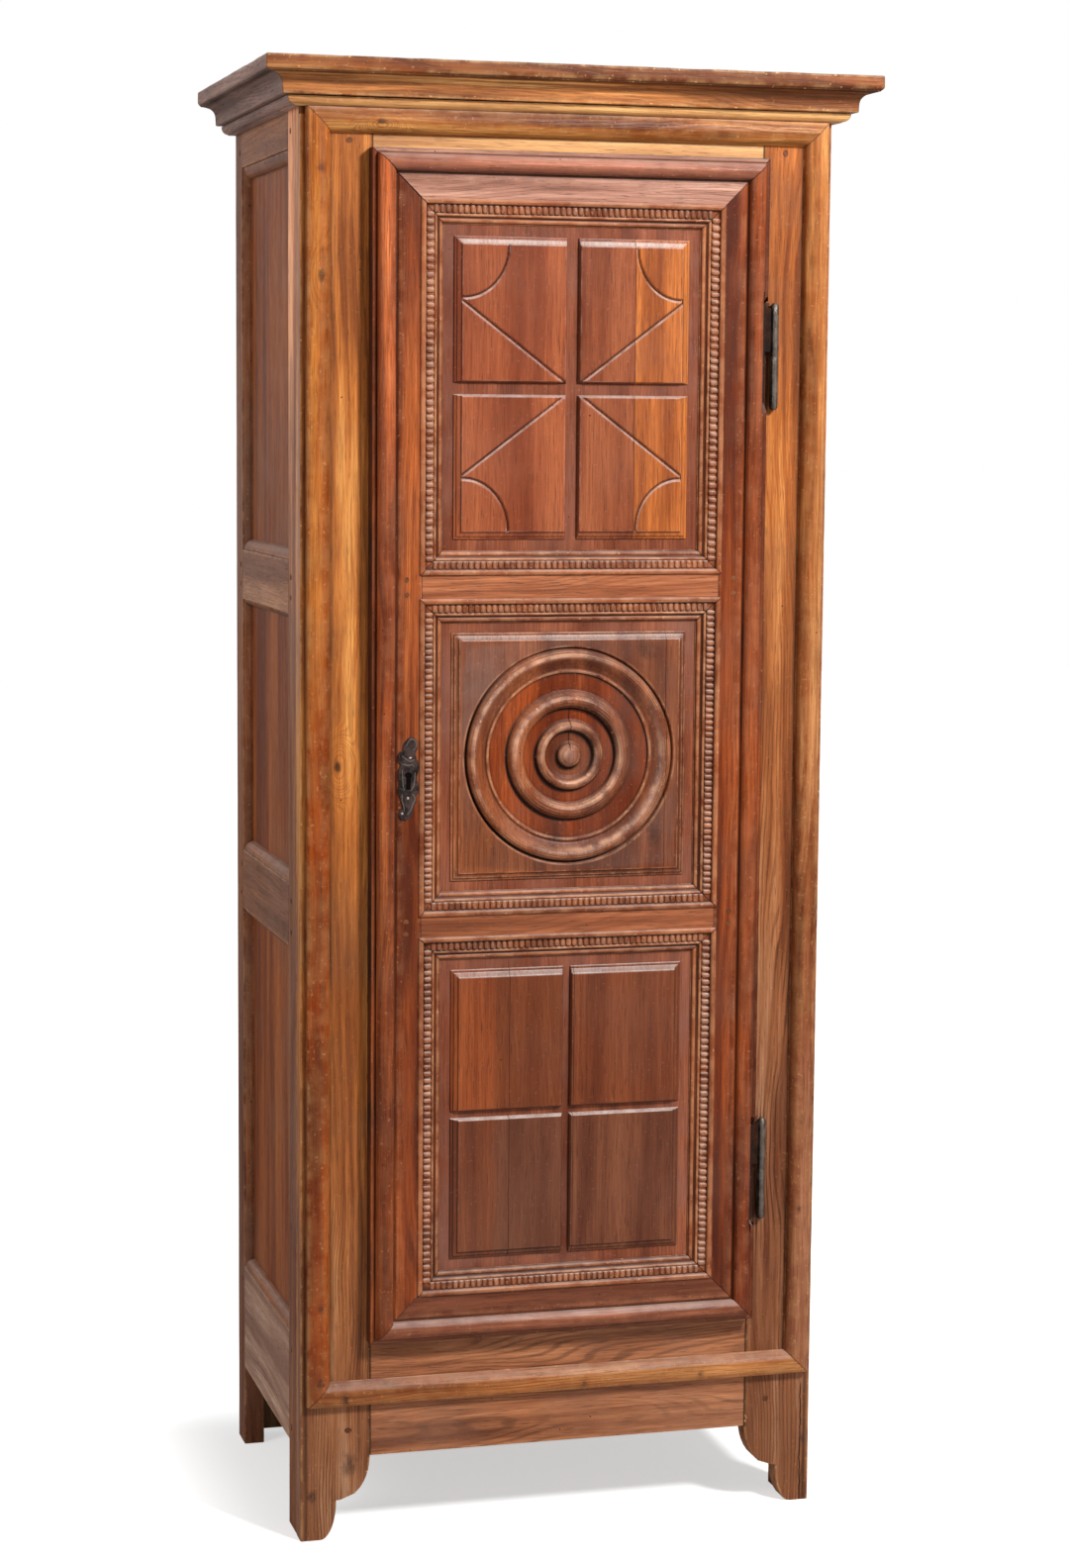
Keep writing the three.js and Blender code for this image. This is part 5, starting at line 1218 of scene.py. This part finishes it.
def quarter_boxes(low, high, channel):
    """The four blocks of a quartered field, each with which edges face out."""
    x0, x1, z0, z1 = opening_left + margin, opening_right - margin, low + margin, high - margin
    mx, mz, half = (x0 + x1) / 2, (z0 + z1) / 2, channel / 2
    for left, bottom in ((True, True), (False, True), (True, False), (False, False)):
        box = (x0 if left else mx + half, mx - half if left else x1,
               z0 if bottom else mz + half, mz - half if bottom else z1)
        edges = (outer_edge if left else inner_edge, inner_edge if left else outer_edge,
                 outer_edge if bottom else inner_edge, inner_edge if bottom else outer_edge)
        yield "left" if left else "right", "bottom" if bottom else "top", box, edges


# Lower panel
# Four plain blocks parted by a narrow cross channel, the plainest and most rubbed of the three.
# Cut from the same boards as the others, with the joint between two boards left of the middle.
split_x = -0.104
lower_tones = {
    ("left", "top"): dict(dark=(98, 42, 18), mid=(136, 66, 33), light=(162, 85, 44), joints=(-0.0833,),
                          split=(split_x, (78, 34, 16), (108, 54, 29), (130, 70, 39), 0.05)),
    ("right", "top"): dict(dark=(84, 37, 19), mid=(113, 56, 30), light=(133, 70, 40), joints=(0.008,)),
    ("left", "bottom"): dict(dark=(92, 44, 25), mid=(125, 66, 38), light=(147, 82, 50), joints=(-0.0833,),
                             split=(split_x, (74, 38, 25), (99, 57, 39), (118, 71, 49), 0.05)),
    ("right", "bottom"): dict(dark=(86, 44, 28), mid=(112, 63, 41), light=(133, 79, 53), joints=(0.008,)),
}
lower_shares = (1, 1, 1, 0.45)
for side, end, box, edges in quarter_boxes(*openings["lower"], 9.0):
    wood = old_wood(f"lower_panel_wood_{side}_{end}", **lower_tones[side, end], wear_and_highlight=(188, 142, 120),
                    dirt_and_shade=(34, 18, 13), dull=(112, 72, 56), rings=46.0, wander=6.0, stain=0.3, gloss=0.38,
                    upward_dust_and_sheen=0.95, ring_depth=0.25, lines=0.12)

    def plain(x, z, box=box, edges=edges):
        return [found * share for found, share in zip(edged(x, z, box, edges), lower_shares)]

    x_lines = stations(box[0], box[1], edges[0], edges[1], 9.0)
    z_lines = stations(box[2], box[3], edges[2], edges[3], 11.0)
    relief(f"door_lower_panel_block_{end}_{side}", x_lines, z_lines, plain, wood,
           80.0 + box[0] / 99 + box[2] / 313)


# Upper panel
# Four blocks with cut V lines: a quarter ring at each outer corner and a line from its end to
# the middle, which together make a star. A paler board runs down the right half.
groove_half, groove_depth, grid_step, near_face = 3.2, 3.1, 1.45, 21.5
ring_wide, ring_tall, line_start = 62.0, 69.0, 74.0
upper_wear = dict(wear_and_highlight=(206, 166, 150), dirt_and_shade=(38, 20, 14), dull=(140, 84, 62), rings=44.0, wander=8.0,
                  stain=0.35, gloss=0.34, upward_dust_and_sheen=0.7, wear_and_highlight_share=0.75, ring_depth=0.25, lines=0.12)
pale_from = 0.085
upper_woods = {
    "left": old_wood("upper_panel_wood_left", (112, 50, 28), (148, 76, 45), (174, 96, 58), **upper_wear),
    "right": old_wood("upper_panel_wood_right", (102, 47, 27), (136, 71, 43), (161, 90, 55), **upper_wear,
                      split=(pale_from, (142, 72, 32), (190, 106, 49), (222, 134, 64), 0.0),
                      joints=(pale_from,), knot=(1.48, 0.42, 0.0), knot_size=0.009),
}
for side, end, box, edges in quarter_boxes(*openings["upper"], 15.0):
    left, bottom = side == "left", end == "bottom"
    corner_x = box[0] + edge_in if left else box[1] - edge_in
    corner_z = box[2] + edge_in if bottom else box[3] - edge_in
    inner_x = box[1] - 10.0 if left else box[0] + 10.0
    inner_z = box[3] - 6.0 if bottom else box[2] + 6.0
    start_v = np.array([corner_x, corner_z + (line_start if bottom else -line_start)])
    end_v = np.array([inner_x, inner_z])

    def ring_gap(x, z, corner_x=corner_x, corner_z=corner_z):
        """How far a place lies outside the quarter ring, in mm."""
        return (np.sqrt(((x - corner_x) / ring_wide) ** 2 + ((z - corner_z) / ring_tall) ** 2) - 1.0) * 65.0

    def line_gap(x, z, start_v=start_v, end_v=end_v):
        """How far a place lies to one side of the straight line, in mm."""
        way = (end_v - start_v) / np.linalg.norm(end_v - start_v)
        return (x - start_v[0]) * way[1] - (z - start_v[1]) * way[0]

    def snapped(x, z, ring_gap=ring_gap, line_gap=line_gap):
        """Pulls the grid's near points onto the bottom and the edges of each cut line."""
        x, z = x.copy(), z.copy()
        fixed = np.zeros(x.shape, bool)
        fixed[:12], fixed[-12:], fixed[:, :12], fixed[:, -12:] = True, True, True, True
        for gap in (ring_gap, line_gap):
            for _ in range(2):
                here = gap(x, z)
                slope_x = (gap(x + 0.1, z) - here) / 0.1
                slope_z = (gap(x, z + 0.1) - here) / 0.1
                size = slope_x ** 2 + slope_z ** 2 + 1e-9
                target = np.where(np.abs(here) < 0.8, 0.0, np.sign(here) * groove_half)
                pull = target - here
                near = (np.abs(pull) < 0.8) & ~fixed
                x = np.where(near, x + pull * slope_x / size, x)
                z = np.where(near, z + pull * slope_z / size, z)
        return x, z

    def carved(x, z, box=box, edges=edges, bottom=bottom, ring_gap=ring_gap, line_gap=line_gap):
        out, dirt_and_shade, wear_and_highlight, dust_and_sheen = edged(x, z, box, edges)
        dust_and_sheen = dust_and_sheen * (0.6 if bottom else 0.75)
        open_face = out > near_face
        # Each cut line gets a painted highlight on the facet that faces up and painted shade on the other
        for gap in (ring_gap, line_gap):
            here = np.abs(gap(x, z))
            cut = np.where(open_face, np.clip(1 - here / groove_half, 0, 1), 0)
            faces_up = np.abs(gap(x, z + 0.2)) < here
            out = out - cut * groove_depth
            dirt_and_shade = np.maximum(dirt_and_shade, np.where(faces_up, 0.0, np.minimum(1, cut * 2.0)))
            wear_and_highlight = np.maximum(wear_and_highlight, np.where(faces_up, np.minimum(1, cut * 2.5), 0.0))
        return out, dirt_and_shade, wear_and_highlight, dust_and_sheen

    x_lines = stations(box[0], box[1], edges[0], edges[1], grid_step)
    z_lines = stations(box[2], box[3], edges[2], edges[3], grid_step)
    seed = 0.0 if bottom and not left else 90.0 + box[0] / 99 + box[2] / 313
    relief(f"door_upper_panel_block_{end}_{side}", x_lines, z_lines, carved, upper_woods[side], seed, snapped,
           sharp=40.0)


# Middle panel
# A square field turned in the middle into a roundel: a bold outer ring, a bead, a wide hollow
# flat, two smaller rings and a knob, cut from the same boards, with a crack above the knob.
roundel_x, roundel_z, roundel_edge = 367.5, 1081.0, 149.0
turned = [(0.0, 28.0), (4.0, 27.9), (9.0, 27.2), (12.8, 25.2), (15.2, 22.0), (16.4, 18.8), (17.2, 16.8),
          (18.6, 15.6), (21.0, 15.4), (27.0, 16.2), (31.5, 17.6), (33.4, 19.4), (34.6, 22.2), (36.2, 24.6),
          (38.8, 26.0), (41.6, 26.2), (44.0, 25.0), (46.0, 22.4), (47.2, 19.4), (48.0, 17.6), (49.2, 16.8),
          (51.0, 16.7), (58.0, 17.0), (63.6, 17.1), (64.6, 19.0), (66.6, 23.6), (69.6, 27.2), (73.4, 29.0),
          (77.4, 28.8), (81.2, 26.8), (84.4, 23.4), (86.6, 19.8), (87.8, 17.6), (89.0, 16.4), (90.6, 16.3),
          (93.0, 16.8), (101.0, 17.3), (109.0, 17.2), (111.8, 16.9), (112.6, 18.4), (113.8, 19.6),
          (115.8, 19.7), (117.2, 18.8), (118.2, 18.2), (121.0, 19.4), (124.6, 21.8), (128.4, 24.9),
          (132.0, 27.7), (135.6, 29.2), (138.8, 28.8), (141.6, 26.2), (143.6, 22.2), (145.0, 18.6),
          (145.8, 17.6), (146.8, 18.6), (147.8, 21.6), (149.0, 23.0)]
turned_r, turned_h = np.array(turned).T
radii = np.unique(np.round(np.concatenate([turned_r, np.arange(0.9, roundel_edge, 1.5)]), 2))[1:]
radii = radii[np.concatenate([[True], np.diff(radii) > 0.45])]
low, high = openings["middle"]
field_in = 43.0
field = (opening_left + field_in, opening_right - field_in, low + field_in, high - field_in)
side_points = 56
around = 4 * side_points
sides = np.arange(around)
corner_of = (sides // side_points) % 4
share_of = (sides % side_points) / side_points


def square_ring(inset):
    """The field's outline, drawn in by some mm, as points from corner to corner."""
    x0, x1, z0, z1 = field[0] + inset, field[1] - inset, field[2] + inset, field[3] - inset
    corners = np.array([(x0, z0), (x1, z0), (x1, z1), (x0, z1)], float)
    return corners[corner_of] * (1 - share_of)[:, None] + corners[(corner_of + 1) % 4] * share_of[:, None]


angles = -0.75 * math.pi + 2 * math.pi * sides / around
circle = np.stack([np.cos(angles), np.sin(angles)], 1)
middle_of = np.array([roundel_x, roundel_z])

# Rings of points from the knob out to the field's foot, each with its height and its reach. Past
# the turned part the reach only says whether a ring lies on the flat face or on the stepped edge
face_reach, edge_reach = 160.0, 170.0
levels = [(middle_of + circle * r, np.interp(r, turned_r, turned_h), r) for r in radii]
for share in (0.0, 0.25, 0.5, 0.75):
    ring = (middle_of + circle * 151.0) * (1 - share) + square_ring(edge_in) * share
    levels.append((ring, face_out, face_reach))
levels += [(square_ring(inset), out, edge_reach) for inset, out, _ in reversed(outer_edge)]
levels.append((square_ring(0.0), ground_back, edge_reach))
heights = np.array([out for _, out, _ in levels])
reach_of = np.array([r for _, _, r in levels])
spread = np.array([np.linalg.norm(ring[side_points // 2] - middle_of) for ring, _, _ in levels])
crest = np.zeros(len(levels))
grime_and_shade = np.zeros(len(levels))
for k in range(1, len(levels) - 1):
    before, after = np.interp([spread[k] - 1.6, spread[k] + 1.6], spread, heights)
    bend = heights[k] - (before + after) / 2
    crest[k], grime_and_shade[k] = np.clip(bend * 2.0 - 0.5, 0, 0.5), np.clip(-bend * 1.6, 0, 1)
rings = np.array([np.column_stack([ring[:, 0] - middle_x, np.full(around, -out - origin_y), ring[:, 1]])
                  for ring, out, _ in levels]) / 1000.0
rings[..., 1] += uneven(rings, 0.0002, 14.0)
grain = np.stack([rings[..., 2] + 4.4, rings[..., 0] + 7.7, rings[..., 1]], -1)
slope = np.gradient(heights, np.maximum.accumulate(spread + np.arange(len(levels)) * 1e-4))
leaning = np.where(reach_of < 150.0, -slope / np.sqrt(1 + slope ** 2), 0.0)[:, None]
from_lamp = leaning * (circle @ np.array([-0.75, -0.66]))[None, :]


def facing(x, z, power=1.0):
    """How much each point round the ring looks the given way, as one row."""
    return np.clip(circle @ np.array([x, z]), 0, 1)[None, :] ** power


def lit_and_shaded_arcs(marks):
    """Painted light and shade along the rings, each mark by radius, width, the way it faces and strength."""
    found = 0.0
    for r, wide, toward, strength in marks:
        toward = np.array(toward) / np.linalg.norm(toward)
        found = found + strength * np.exp(-((reach_of - r) / wide) ** 2)[:, None] * facing(*toward, 1.5)
    return found


# Painted highlights along the rings where each faces a given way, and the crests paled too
gleams = lit_and_shaded_arcs([(136.5, 2.8, (-1, 1), 1.0), (79.0, 3.2, (-1, 1), 1.2), (39.5, 2.6, (-1, 1), 0.8),
                    (129.5, 4.0, (1, -1), 0.9), (70.0, 3.4, (1, -1), 0.8), (37.5, 2.6, (0.7, -1), 0.8),
                    (8.0, 4.0, (-1, 1), 0.5)])
shiny = np.clip(gleams, 0, 1) * 0.9 + crest[:, None] * 0.9
# The hollows are darker on the side away from the lamp: painted shade
shade_and_soil = grime_and_shade[:, None] * np.clip(0.5 + from_lamp * 1.2, 0.2, 1)
# Painted shadows along the rings, on the slopes that face away from the lamp
shade_and_soil += lit_and_shaded_arcs([(87.0, 3.4, (-1, -0.9), 0.95), (47.5, 3.0, (-1, -0.9), 0.95),
                     (145.0, 2.6, (-1, -0.9), 1.0), (66.0, 3.4, (0.8, 1), 0.95), (34.0, 4.0, (0.8, 1), 0.9),
                     (111.5, 2.4, (0.8, 1), 0.6), (16.0, 4.0, (-0.3, -1), 0.8)])
# On the face just round the ring: painted sheen towards the upper left and lower right, painted shade towards
# the lower left, and dust on the knob
on_face = ((reach_of > 148.0) & (reach_of < 165.0)).astype(float)[:, None]
face_sheen_and_knob_dust = on_face * (0.09 * facing(-0.7, 0.7) + 0.05 * facing(0.7, -0.7))
face_sheen_and_knob_dust = face_sheen_and_knob_dust + 0.16 * np.exp(-(reach_of / 9.0) ** 2)[:, None]
shade_and_soil += on_face * 0.2 * facing(-0.7, -0.7)
# The face is also darker just round the ring
soil_reach = 170.0
near_roundel = np.where((reach_of > 149.5) & (reach_of < 165.0), 0.3, 0.0)[:, None]
shade_and_soil += near_roundel * np.clip(1.6 - spread[:, None] / soil_reach, 0, 1)
# Dust and painted sheen along the field's top ledges
ledges = (reach_of == edge_reach) & (heights > 18.8) & (heights < 22.95)
along_top = np.where((corner_of == 2)[None, :] & ledges[:, None], 0.36, 0.0)
middle_wood = old_wood("middle_panel_wood", (88, 40, 21), (130, 68, 38), (164, 93, 55),
                       wear_and_highlight=(228, 166, 124), dirt_and_shade=(30, 15, 11), dull=(116, 80, 66), rings=46.0,
                       wander=7.0, stain=0.5, gloss=0.3, shine=0.12, wear_and_highlight_share=0.8, grime_and_shade_depth=1.0, joints=(0.134,),
                       upward_dust_and_sheen=0.12, ring_depth=0.25, lines=0.16, cast=(1.1, 0.72, 0.44),
                       cracks=((-0.0015, 1.087, 1.155, 0.0008),),
                       blots=((0.105, 1.227, 0.02, 0.6), (-0.02, 0.972, 0.022, 0.6),
                              (0.12, 0.969, 0.014, 0.6)))
in_hollows = (reach_of > 90) & (reach_of < 112) | (reach_of > 49) & (reach_of < 64)
reddest = in_hollows[:, None] * (0.7 + 0.3 * np.clip(uneven(rings, 3.0, 12.0) + 0.5, 0, 1))
piece("door_middle_panel_roundel", [skin_of(rings, grain, shiny, shade_and_soil)], middle_wood, "door",
      sharp=60.0, tint=reddest, dust_and_sheen=along_top + gleams * 0.25 + face_sheen_and_knob_dust)


# Hinges
# Long fiche hinges of wrought iron, brown with old rust: two barrels on one pin, the lower on the
# post and the upper on the door, with leaves let into both.
def rust(name, dark, light, metal, rough, shine=0.5, edge=0.5):
    material = bpy.data.materials.new(name)
    tree = cleared(material)
    place = put(tree, "ShaderNodeTexCoord").outputs["Object"]
    cloud = faded(tree, speckle(tree, place, 4.0, 0.65, 70.0), 0.36, 0.66)
    pits = faded(tree, speckle(tree, place, 2.0, 0.5, 420.0), 0.3, 0.62)
    colour = mixed_colour(tree, cloud, shade(*dark), shade(*light))
    # Bare iron on the crests; on the hinge barrels' front ridge this is a painted highlight
    bare_iron_and_highlight = sum_of(tree, "MULTIPLY", mask(tree, "crest"), edge)
    colour = mixed_colour(tree, bare_iron_and_highlight, colour, shade(150, 136, 122))
    iron_rough = sum_of(tree, "MULTIPLY_ADD", cloud, 0.2, rough - 0.06)
    gleam = sum_of(tree, "MULTIPLY_ADD", cloud, -0.35, metal, clamp=True)
    finished(material, colour, iron_rough, 0.5, 0.0004, pits, shine, gleam)
    return material


hinge_iron = rust("hinge_iron", (42, 34, 30), (70, 58, 50), 0.5, 0.4)
leaf_iron = rust("leaf_iron", (30, 18, 12), (62, 36, 23), 0.0, 0.8, 0.1, 0.0)
pin_x, pin_y, barrel_radius, barrel_sides = 657.0, -8.0, 6.0, 8
barrel_half, barrel_gap, barrel_taper, leaf_half, leaf_gap = 72.5, 0.2, 3.6, 66.0, 6.5


def barrel(low, high, taper_low, taper_high):
    """A closed tube of eight sides round the pin, with a painted highlight along the ridge in front."""
    heights = [(low, 0.02), (low, 0.96 if taper_low < 1 else 0.5), (low + taper_low, 1.0)]
    heights += [(low + (high - low) * s, 1.0 + 0.02 * math.sin(s * 9)) for s in (0.2, 0.4, 0.6, 0.8)]
    heights += [(high - taper_high, 1.0), (high, 0.96 if taper_high < 1 else 0.5), (high, 0.02)]
    turnings = np.linspace(0, 2 * math.pi, barrel_sides, endpoint=False) - 1.42
    rings = [[case_place(pin_x + barrel_radius * share * math.cos(t),
                         pin_y + barrel_radius * share * math.sin(t), z) for t in turnings]
             for z, share in heights]
    rings = np.array(rings) / 1000.0
    ridge_highlight = np.zeros(rings.shape[:2])
    ridge_highlight[1:-1, 0] = 0.7
    return skin_of(rings, rings.copy(), ridge_highlight, ridge_highlight * 0.0)


def plate_shell(low, high):
    outline = arris(high[0] - low[0], high[1] - low[1], 0.4, 1.0)
    return run_of(outline, case_place(*low), up, across_case, back_case, high[2] - low[2], swell=0.0)


for name, middle in hinge_middles.items():
    post_half = barrel(middle - barrel_half, middle - barrel_gap, barrel_taper, 0.4)
    post_leaf = plate_shell((655.8, -7.0, middle - leaf_half), (658.2, 21.8, middle - leaf_gap))
    door_half = barrel(middle + barrel_gap, middle + barrel_half, 0.4, barrel_taper)
    door_leaf = plate_shell((605.3, -9.2, middle + leaf_gap), (652.0, -6.8, middle + leaf_half))
    piece(f"hinge_{name}_post_barrel", [post_half], hinge_iron, "case", [f"hinge_{name}_post_leaf"])
    piece(f"hinge_{name}_post_plate", [post_leaf], leaf_iron, "case")
    piece(f"hinge_{name}_door_barrel", [door_half], hinge_iron, "door", [f"hinge_{name}_door_leaf"])
    piece(f"hinge_{name}_door_plate", [door_leaf], leaf_iron, "door")


# Escutcheon
# A small wrought plate of lopsided scrolls over the keyhole, chased by hand and blackened, and
# held by round-headed nails.
plate_iron = rust("plate_iron", (17, 12, 11), (58, 40, 36), 0.3, 0.42, 0.25)
# Black for the painted shade inside the keyhole
keyhole_shade_black = rust("keyhole_shade_black", (8, 6, 5), (14, 10, 8), 0.0, 0.9, 0.05, 0.0)
plate_x, plate_out, plate_z, plate_half, chased_out = 141.25, 27.0, 1054.5, 56.0, 28.5

# The plate's outline: across in mm, and up as a share of its half height
silhouette = [(2.0, 1.0), (7.5, 0.985), (12.0, 0.9), (12.6, 0.74), (10.0, 0.62), (11.0, 0.5), (13.6, 0.4),
              (14.0, 0.2), (11.6, 0.02), (13.4, -0.1), (14.2, -0.22), (13.8, -0.34), (10.2, -0.42),
              (11.6, -0.54), (8.6, -0.64), (6.6, -0.74), (3.6, -0.9), (-2.0, -0.985), (-8.4, -0.99),
              (-12.6, -0.9), (-12.0, -0.78), (-8.0, -0.7), (-8.6, -0.56), (-11.6, -0.42), (-13.8, -0.26),
              (-12.4, -0.12), (-13.4, 0.06), (-12.8, 0.26), (-10.6, 0.34), (-13.6, 0.44), (-13.4, 0.6),
              (-10.2, 0.66), (-6.6, 0.58), (-7.6, 0.72), (-5.0, 0.88)]
knots = [Vector((x, z * plate_half, 0.0)) for x, z in silhouette]
smooth = []
for i, here in enumerate(knots):
    before, after, later = knots[i - 1], knots[(i + 1) % len(knots)], knots[(i + 2) % len(knots)]
    for t in (0.0, 0.25, 0.5, 0.75):
        bent = (2 * before - 5 * here + 4 * after - later) * t * t
        curled = (3 * here - before - 3 * after + later) * t ** 3
        smooth.append(0.5 * (2 * here + (after - before) * t + bent + curled))
keyhole = [(-2.8, -14.5), (2.8, -14.5), (2.5, 0.4)]
keyhole += [(4.2 * math.sin(a), 5.0 + 4.2 * math.cos(a)) for a in np.linspace(2.5, -2.5, 12)]
keyhole += [(-2.5, 0.4)]
plate = bmesh.new()
outer = [plate.verts.new((v.x, 0.0, v.y)) for v in smooth]
inner = [plate.verts.new((x * 1.15, 0.0, z)) for x, z in keyhole]
loops = [plate.edges.new((ring[i], ring[(i + 1) % len(ring)])) for ring in (outer, inner)
         for i in range(len(ring))]
bmesh.ops.triangle_fill(plate, use_beauty=True, use_dissolve=False, edges=loops)
flat = bpy.data.meshes.new("escutcheon_plate")
bmesh.ops.recalc_face_normals(plate, faces=plate.faces)
plate.to_mesh(flat)
plate.free()
centre = case_place(plate_x, -plate_out, plate_z) / 1000.0
flat.transform(Matrix.Translation(Vector(centre)) @ Matrix.Scale(0.001, 4))
flat.materials.append(plate_iron)
escutcheon = set_down("escutcheon_plate", flat)
thick = escutcheon.modifiers.new("thickness", "SOLIDIFY")
thick.thickness = 0.0017
thick.offset = 1.0
bevelled(escutcheon, "edge", 0.0008)
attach(escutcheon, "door")
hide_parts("escutcheon")
# A black sheet behind the keyhole stands for the shade inside the hole: painted shade
keyhole_shade_shell = plate_shell((136.6, -27.3, 1038.0), (145.9, -25.0, 1066.5))
piece("keyhole_shade_sheet", [keyhole_shade_shell], keyhole_shade_black, "door")


def chased(path, radius):
    """A raised scroll on the plate, in mm from the plate's middle, thinning out at both ends."""
    path = np.array(path, float)
    steps = np.concatenate([[0], np.cumsum(np.linalg.norm(np.diff(path, axis=0), axis=1))])
    at = np.linspace(0, steps[-1], len(path) * 4)
    spots = np.stack([np.interp(at, steps, path[:, k]) for k in (0, 1)], 1)
    spots[1:-1] = (spots[:-2] + spots[1:-1] * 2 + spots[2:]) / 4
    way = np.gradient(spots, axis=0)
    way /= np.linalg.norm(way, axis=1)[:, None]
    wide = radius * (0.35 + 0.65 * np.sin(np.linspace(0.15, math.pi - 0.15, len(at))))
    turnings = np.linspace(0, 2 * math.pi, 7)[:-1]
    rings = []
    for spot, (along_x, along_z), reach in zip(spots, way, wide):
        rings.append([case_place(plate_x + spot[0] - along_z * math.cos(a) * reach,
                                 -chased_out - math.sin(a) * reach * 0.8,
                                 plate_z + spot[1] + along_x * math.cos(a) * reach) for a in turnings])
    rings = np.array(rings) / 1000.0
    raised = np.where(rings[..., 1] < -0.2446, 0.6, 0.0)
    return skin_of(rings, rings.copy(), raised, raised * 0.0)


scrolls = [
    [(-4, 38), (-2.5, 46), (1, 52.5), (5, 54), (9.4, 52), (11.2, 46), (9.6, 40.5), (6.2, 38.6), (4.4, 42),
     (6.4, 45)],
    [(-12, 35), (-8.6, 31), (-4.4, 27.6), (2, 23.6), (8, 25.6), (10.6, 30)],
    [(-11, 21), (-6, 19.4), (0, 18.4), (6, 19.2), (9.8, 14)],
    [(-8.4, 18), (-8.2, 6), (-7.6, -6), (-6, -15), (-1, -18.4)],
    [(9.4, 14), (9, 2), (7.6, -9), (4, -16), (-1, -18.4)],
    [(-10.6, -15), (-8.4, -21), (-8.8, -29), (-6.4, -36), (-5.4, -42), (-8, -48)],
    [(-1, -18.4), (4, -19), (8.6, -23), (9.4, -29), (6, -34), (4, -41), (-1, -48), (-7, -51.6)],
]
piece("escutcheon_scrolls", [chased(path, 1.25) for path in scrolls], plate_iron, "door")


# Nails and pegs
# Round-headed nails hold the plate and the back boards; cleft oak pegs, cut off nearly flush,
# lock the tenons of the posts, side frames and door.
def head_tree(name, material, dome):
    sizes = {"Head Radius": 0.002, "Stand": 0.0008, "Facing": (0.0, -1.0, 0.0)}
    tree, get, end = growing_tree(name, sizes, 1)
    radius = get["Head Radius"]
    if dome:
        head = put(tree, "GeometryNodeMeshUVSphere", {"Segments": 12, "Rings": 8, "Radius": radius})
    else:
        depth = sum_of(tree, "MULTIPLY", get["Stand"], 2.0)
        head = put(tree, "GeometryNodeMeshCylinder", {"Vertices": 9, "Radius": radius, "Depth": depth},
                   fill_type="NGON")
    turned = put(tree, "FunctionNodeAlignRotationToVector", {"Vector": get["Facing"]}, axis="Z").outputs[0]
    flat_share = 0.55 if dome else 1.0
    scale = varied(tree, get["Seed"], (0.8, 0.8, flat_share * 0.8), (1.15, 1.15, flat_share * 1.2))
    whole = spread_over(tree, get["Geometry"], head.outputs["Mesh"], turned, scale)
    closed_with(tree, end, whole, material, smooth=dome)
    return tree


def driven_in(name, places, tree, sizes, body):
    """One nail head or peg end at each place, in mm in the case's measure."""
    grown_from(name, [[case_place(*place) / 1000.0] for place in places], tree, sizes, body)


nail_iron = rust("nail_iron", (96, 80, 72), (196, 176, 160), 0.6, 0.4)
peg_wood = old_wood("peg_wood", (84, 46, 26), (120, 70, 42), (146, 92, 58), wear_and_highlight=(170, 116, 78),
                    dirt_and_shade=(40, 22, 15), dull=(90, 58, 40), rings=200.0, wander=3.0, gloss=0.5, along="Y")
nails = head_tree("nail_heads", nail_iron, True)
pegs = head_tree("peg_ends", peg_wood, False)
plate_nails = [(144.0, -28.6, 1083.0), (140.6, -28.6, 1029.0), (133.0, -28.6, 1008.0)]
driven_in("escutcheon_nails", plate_nails, nails, {"Head Radius": 0.0019, "Seed": 2}, "door")
face_pegs = [(x, 0.0, z) for x in (66.0, 672.0) for z in (153.0, 1897.0)]
driven_in("front_pegs", face_pegs, pegs, {"Head Radius": 0.0044, "Stand": 0.0006}, "case")
door_pegs = [(x, -27.1, z) for x in (139.0, 597.0) for z in (844.0, 861.0, 1301.0, 1321.0)]
driven_in("door_pegs", door_pegs, pegs, {"Head Radius": 0.0036, "Stand": 0.0004}, "door")
peg_in = 22.0
for side, way in (("left", (-1.0, 0.0, 0.0)), ("right", (1.0, 0.0, 0.0))):
    x = 0.2 if side == "left" else case_wide - 0.2
    side_pegs = [(x, y, z) for y in (68.0, 452.0) for _, low, high in rails
                 for z in (low + peg_in, high - peg_in)]
    driven_in(f"side_pegs_{side}", side_pegs, pegs, {"Head Radius": 0.004, "Stand": 0.0006, "Facing": way},
              "case")
back_nails = [(x, case_deep, z) for x in (60, 120, 160, 210, 290, 350, 395, 450, 510, 560, 620, 680)
              for z in (170.0, 232.0, 1930.0, 1960.0)]
driven_in("back_nails", back_nails, nails, {"Head Radius": 0.0032, "Facing": (0.0, 1.0, 0.0), "Seed": 5},
          "case")


# Lock
# An iron box lock screwed behind the lock stile, with its bolt, rusted all over. Their shapes are
# the model's own, with softened edges.
for node in ("lock_case", "lock_bolt"):
    softened(node, hinge_iron, "edge", 0.0008)
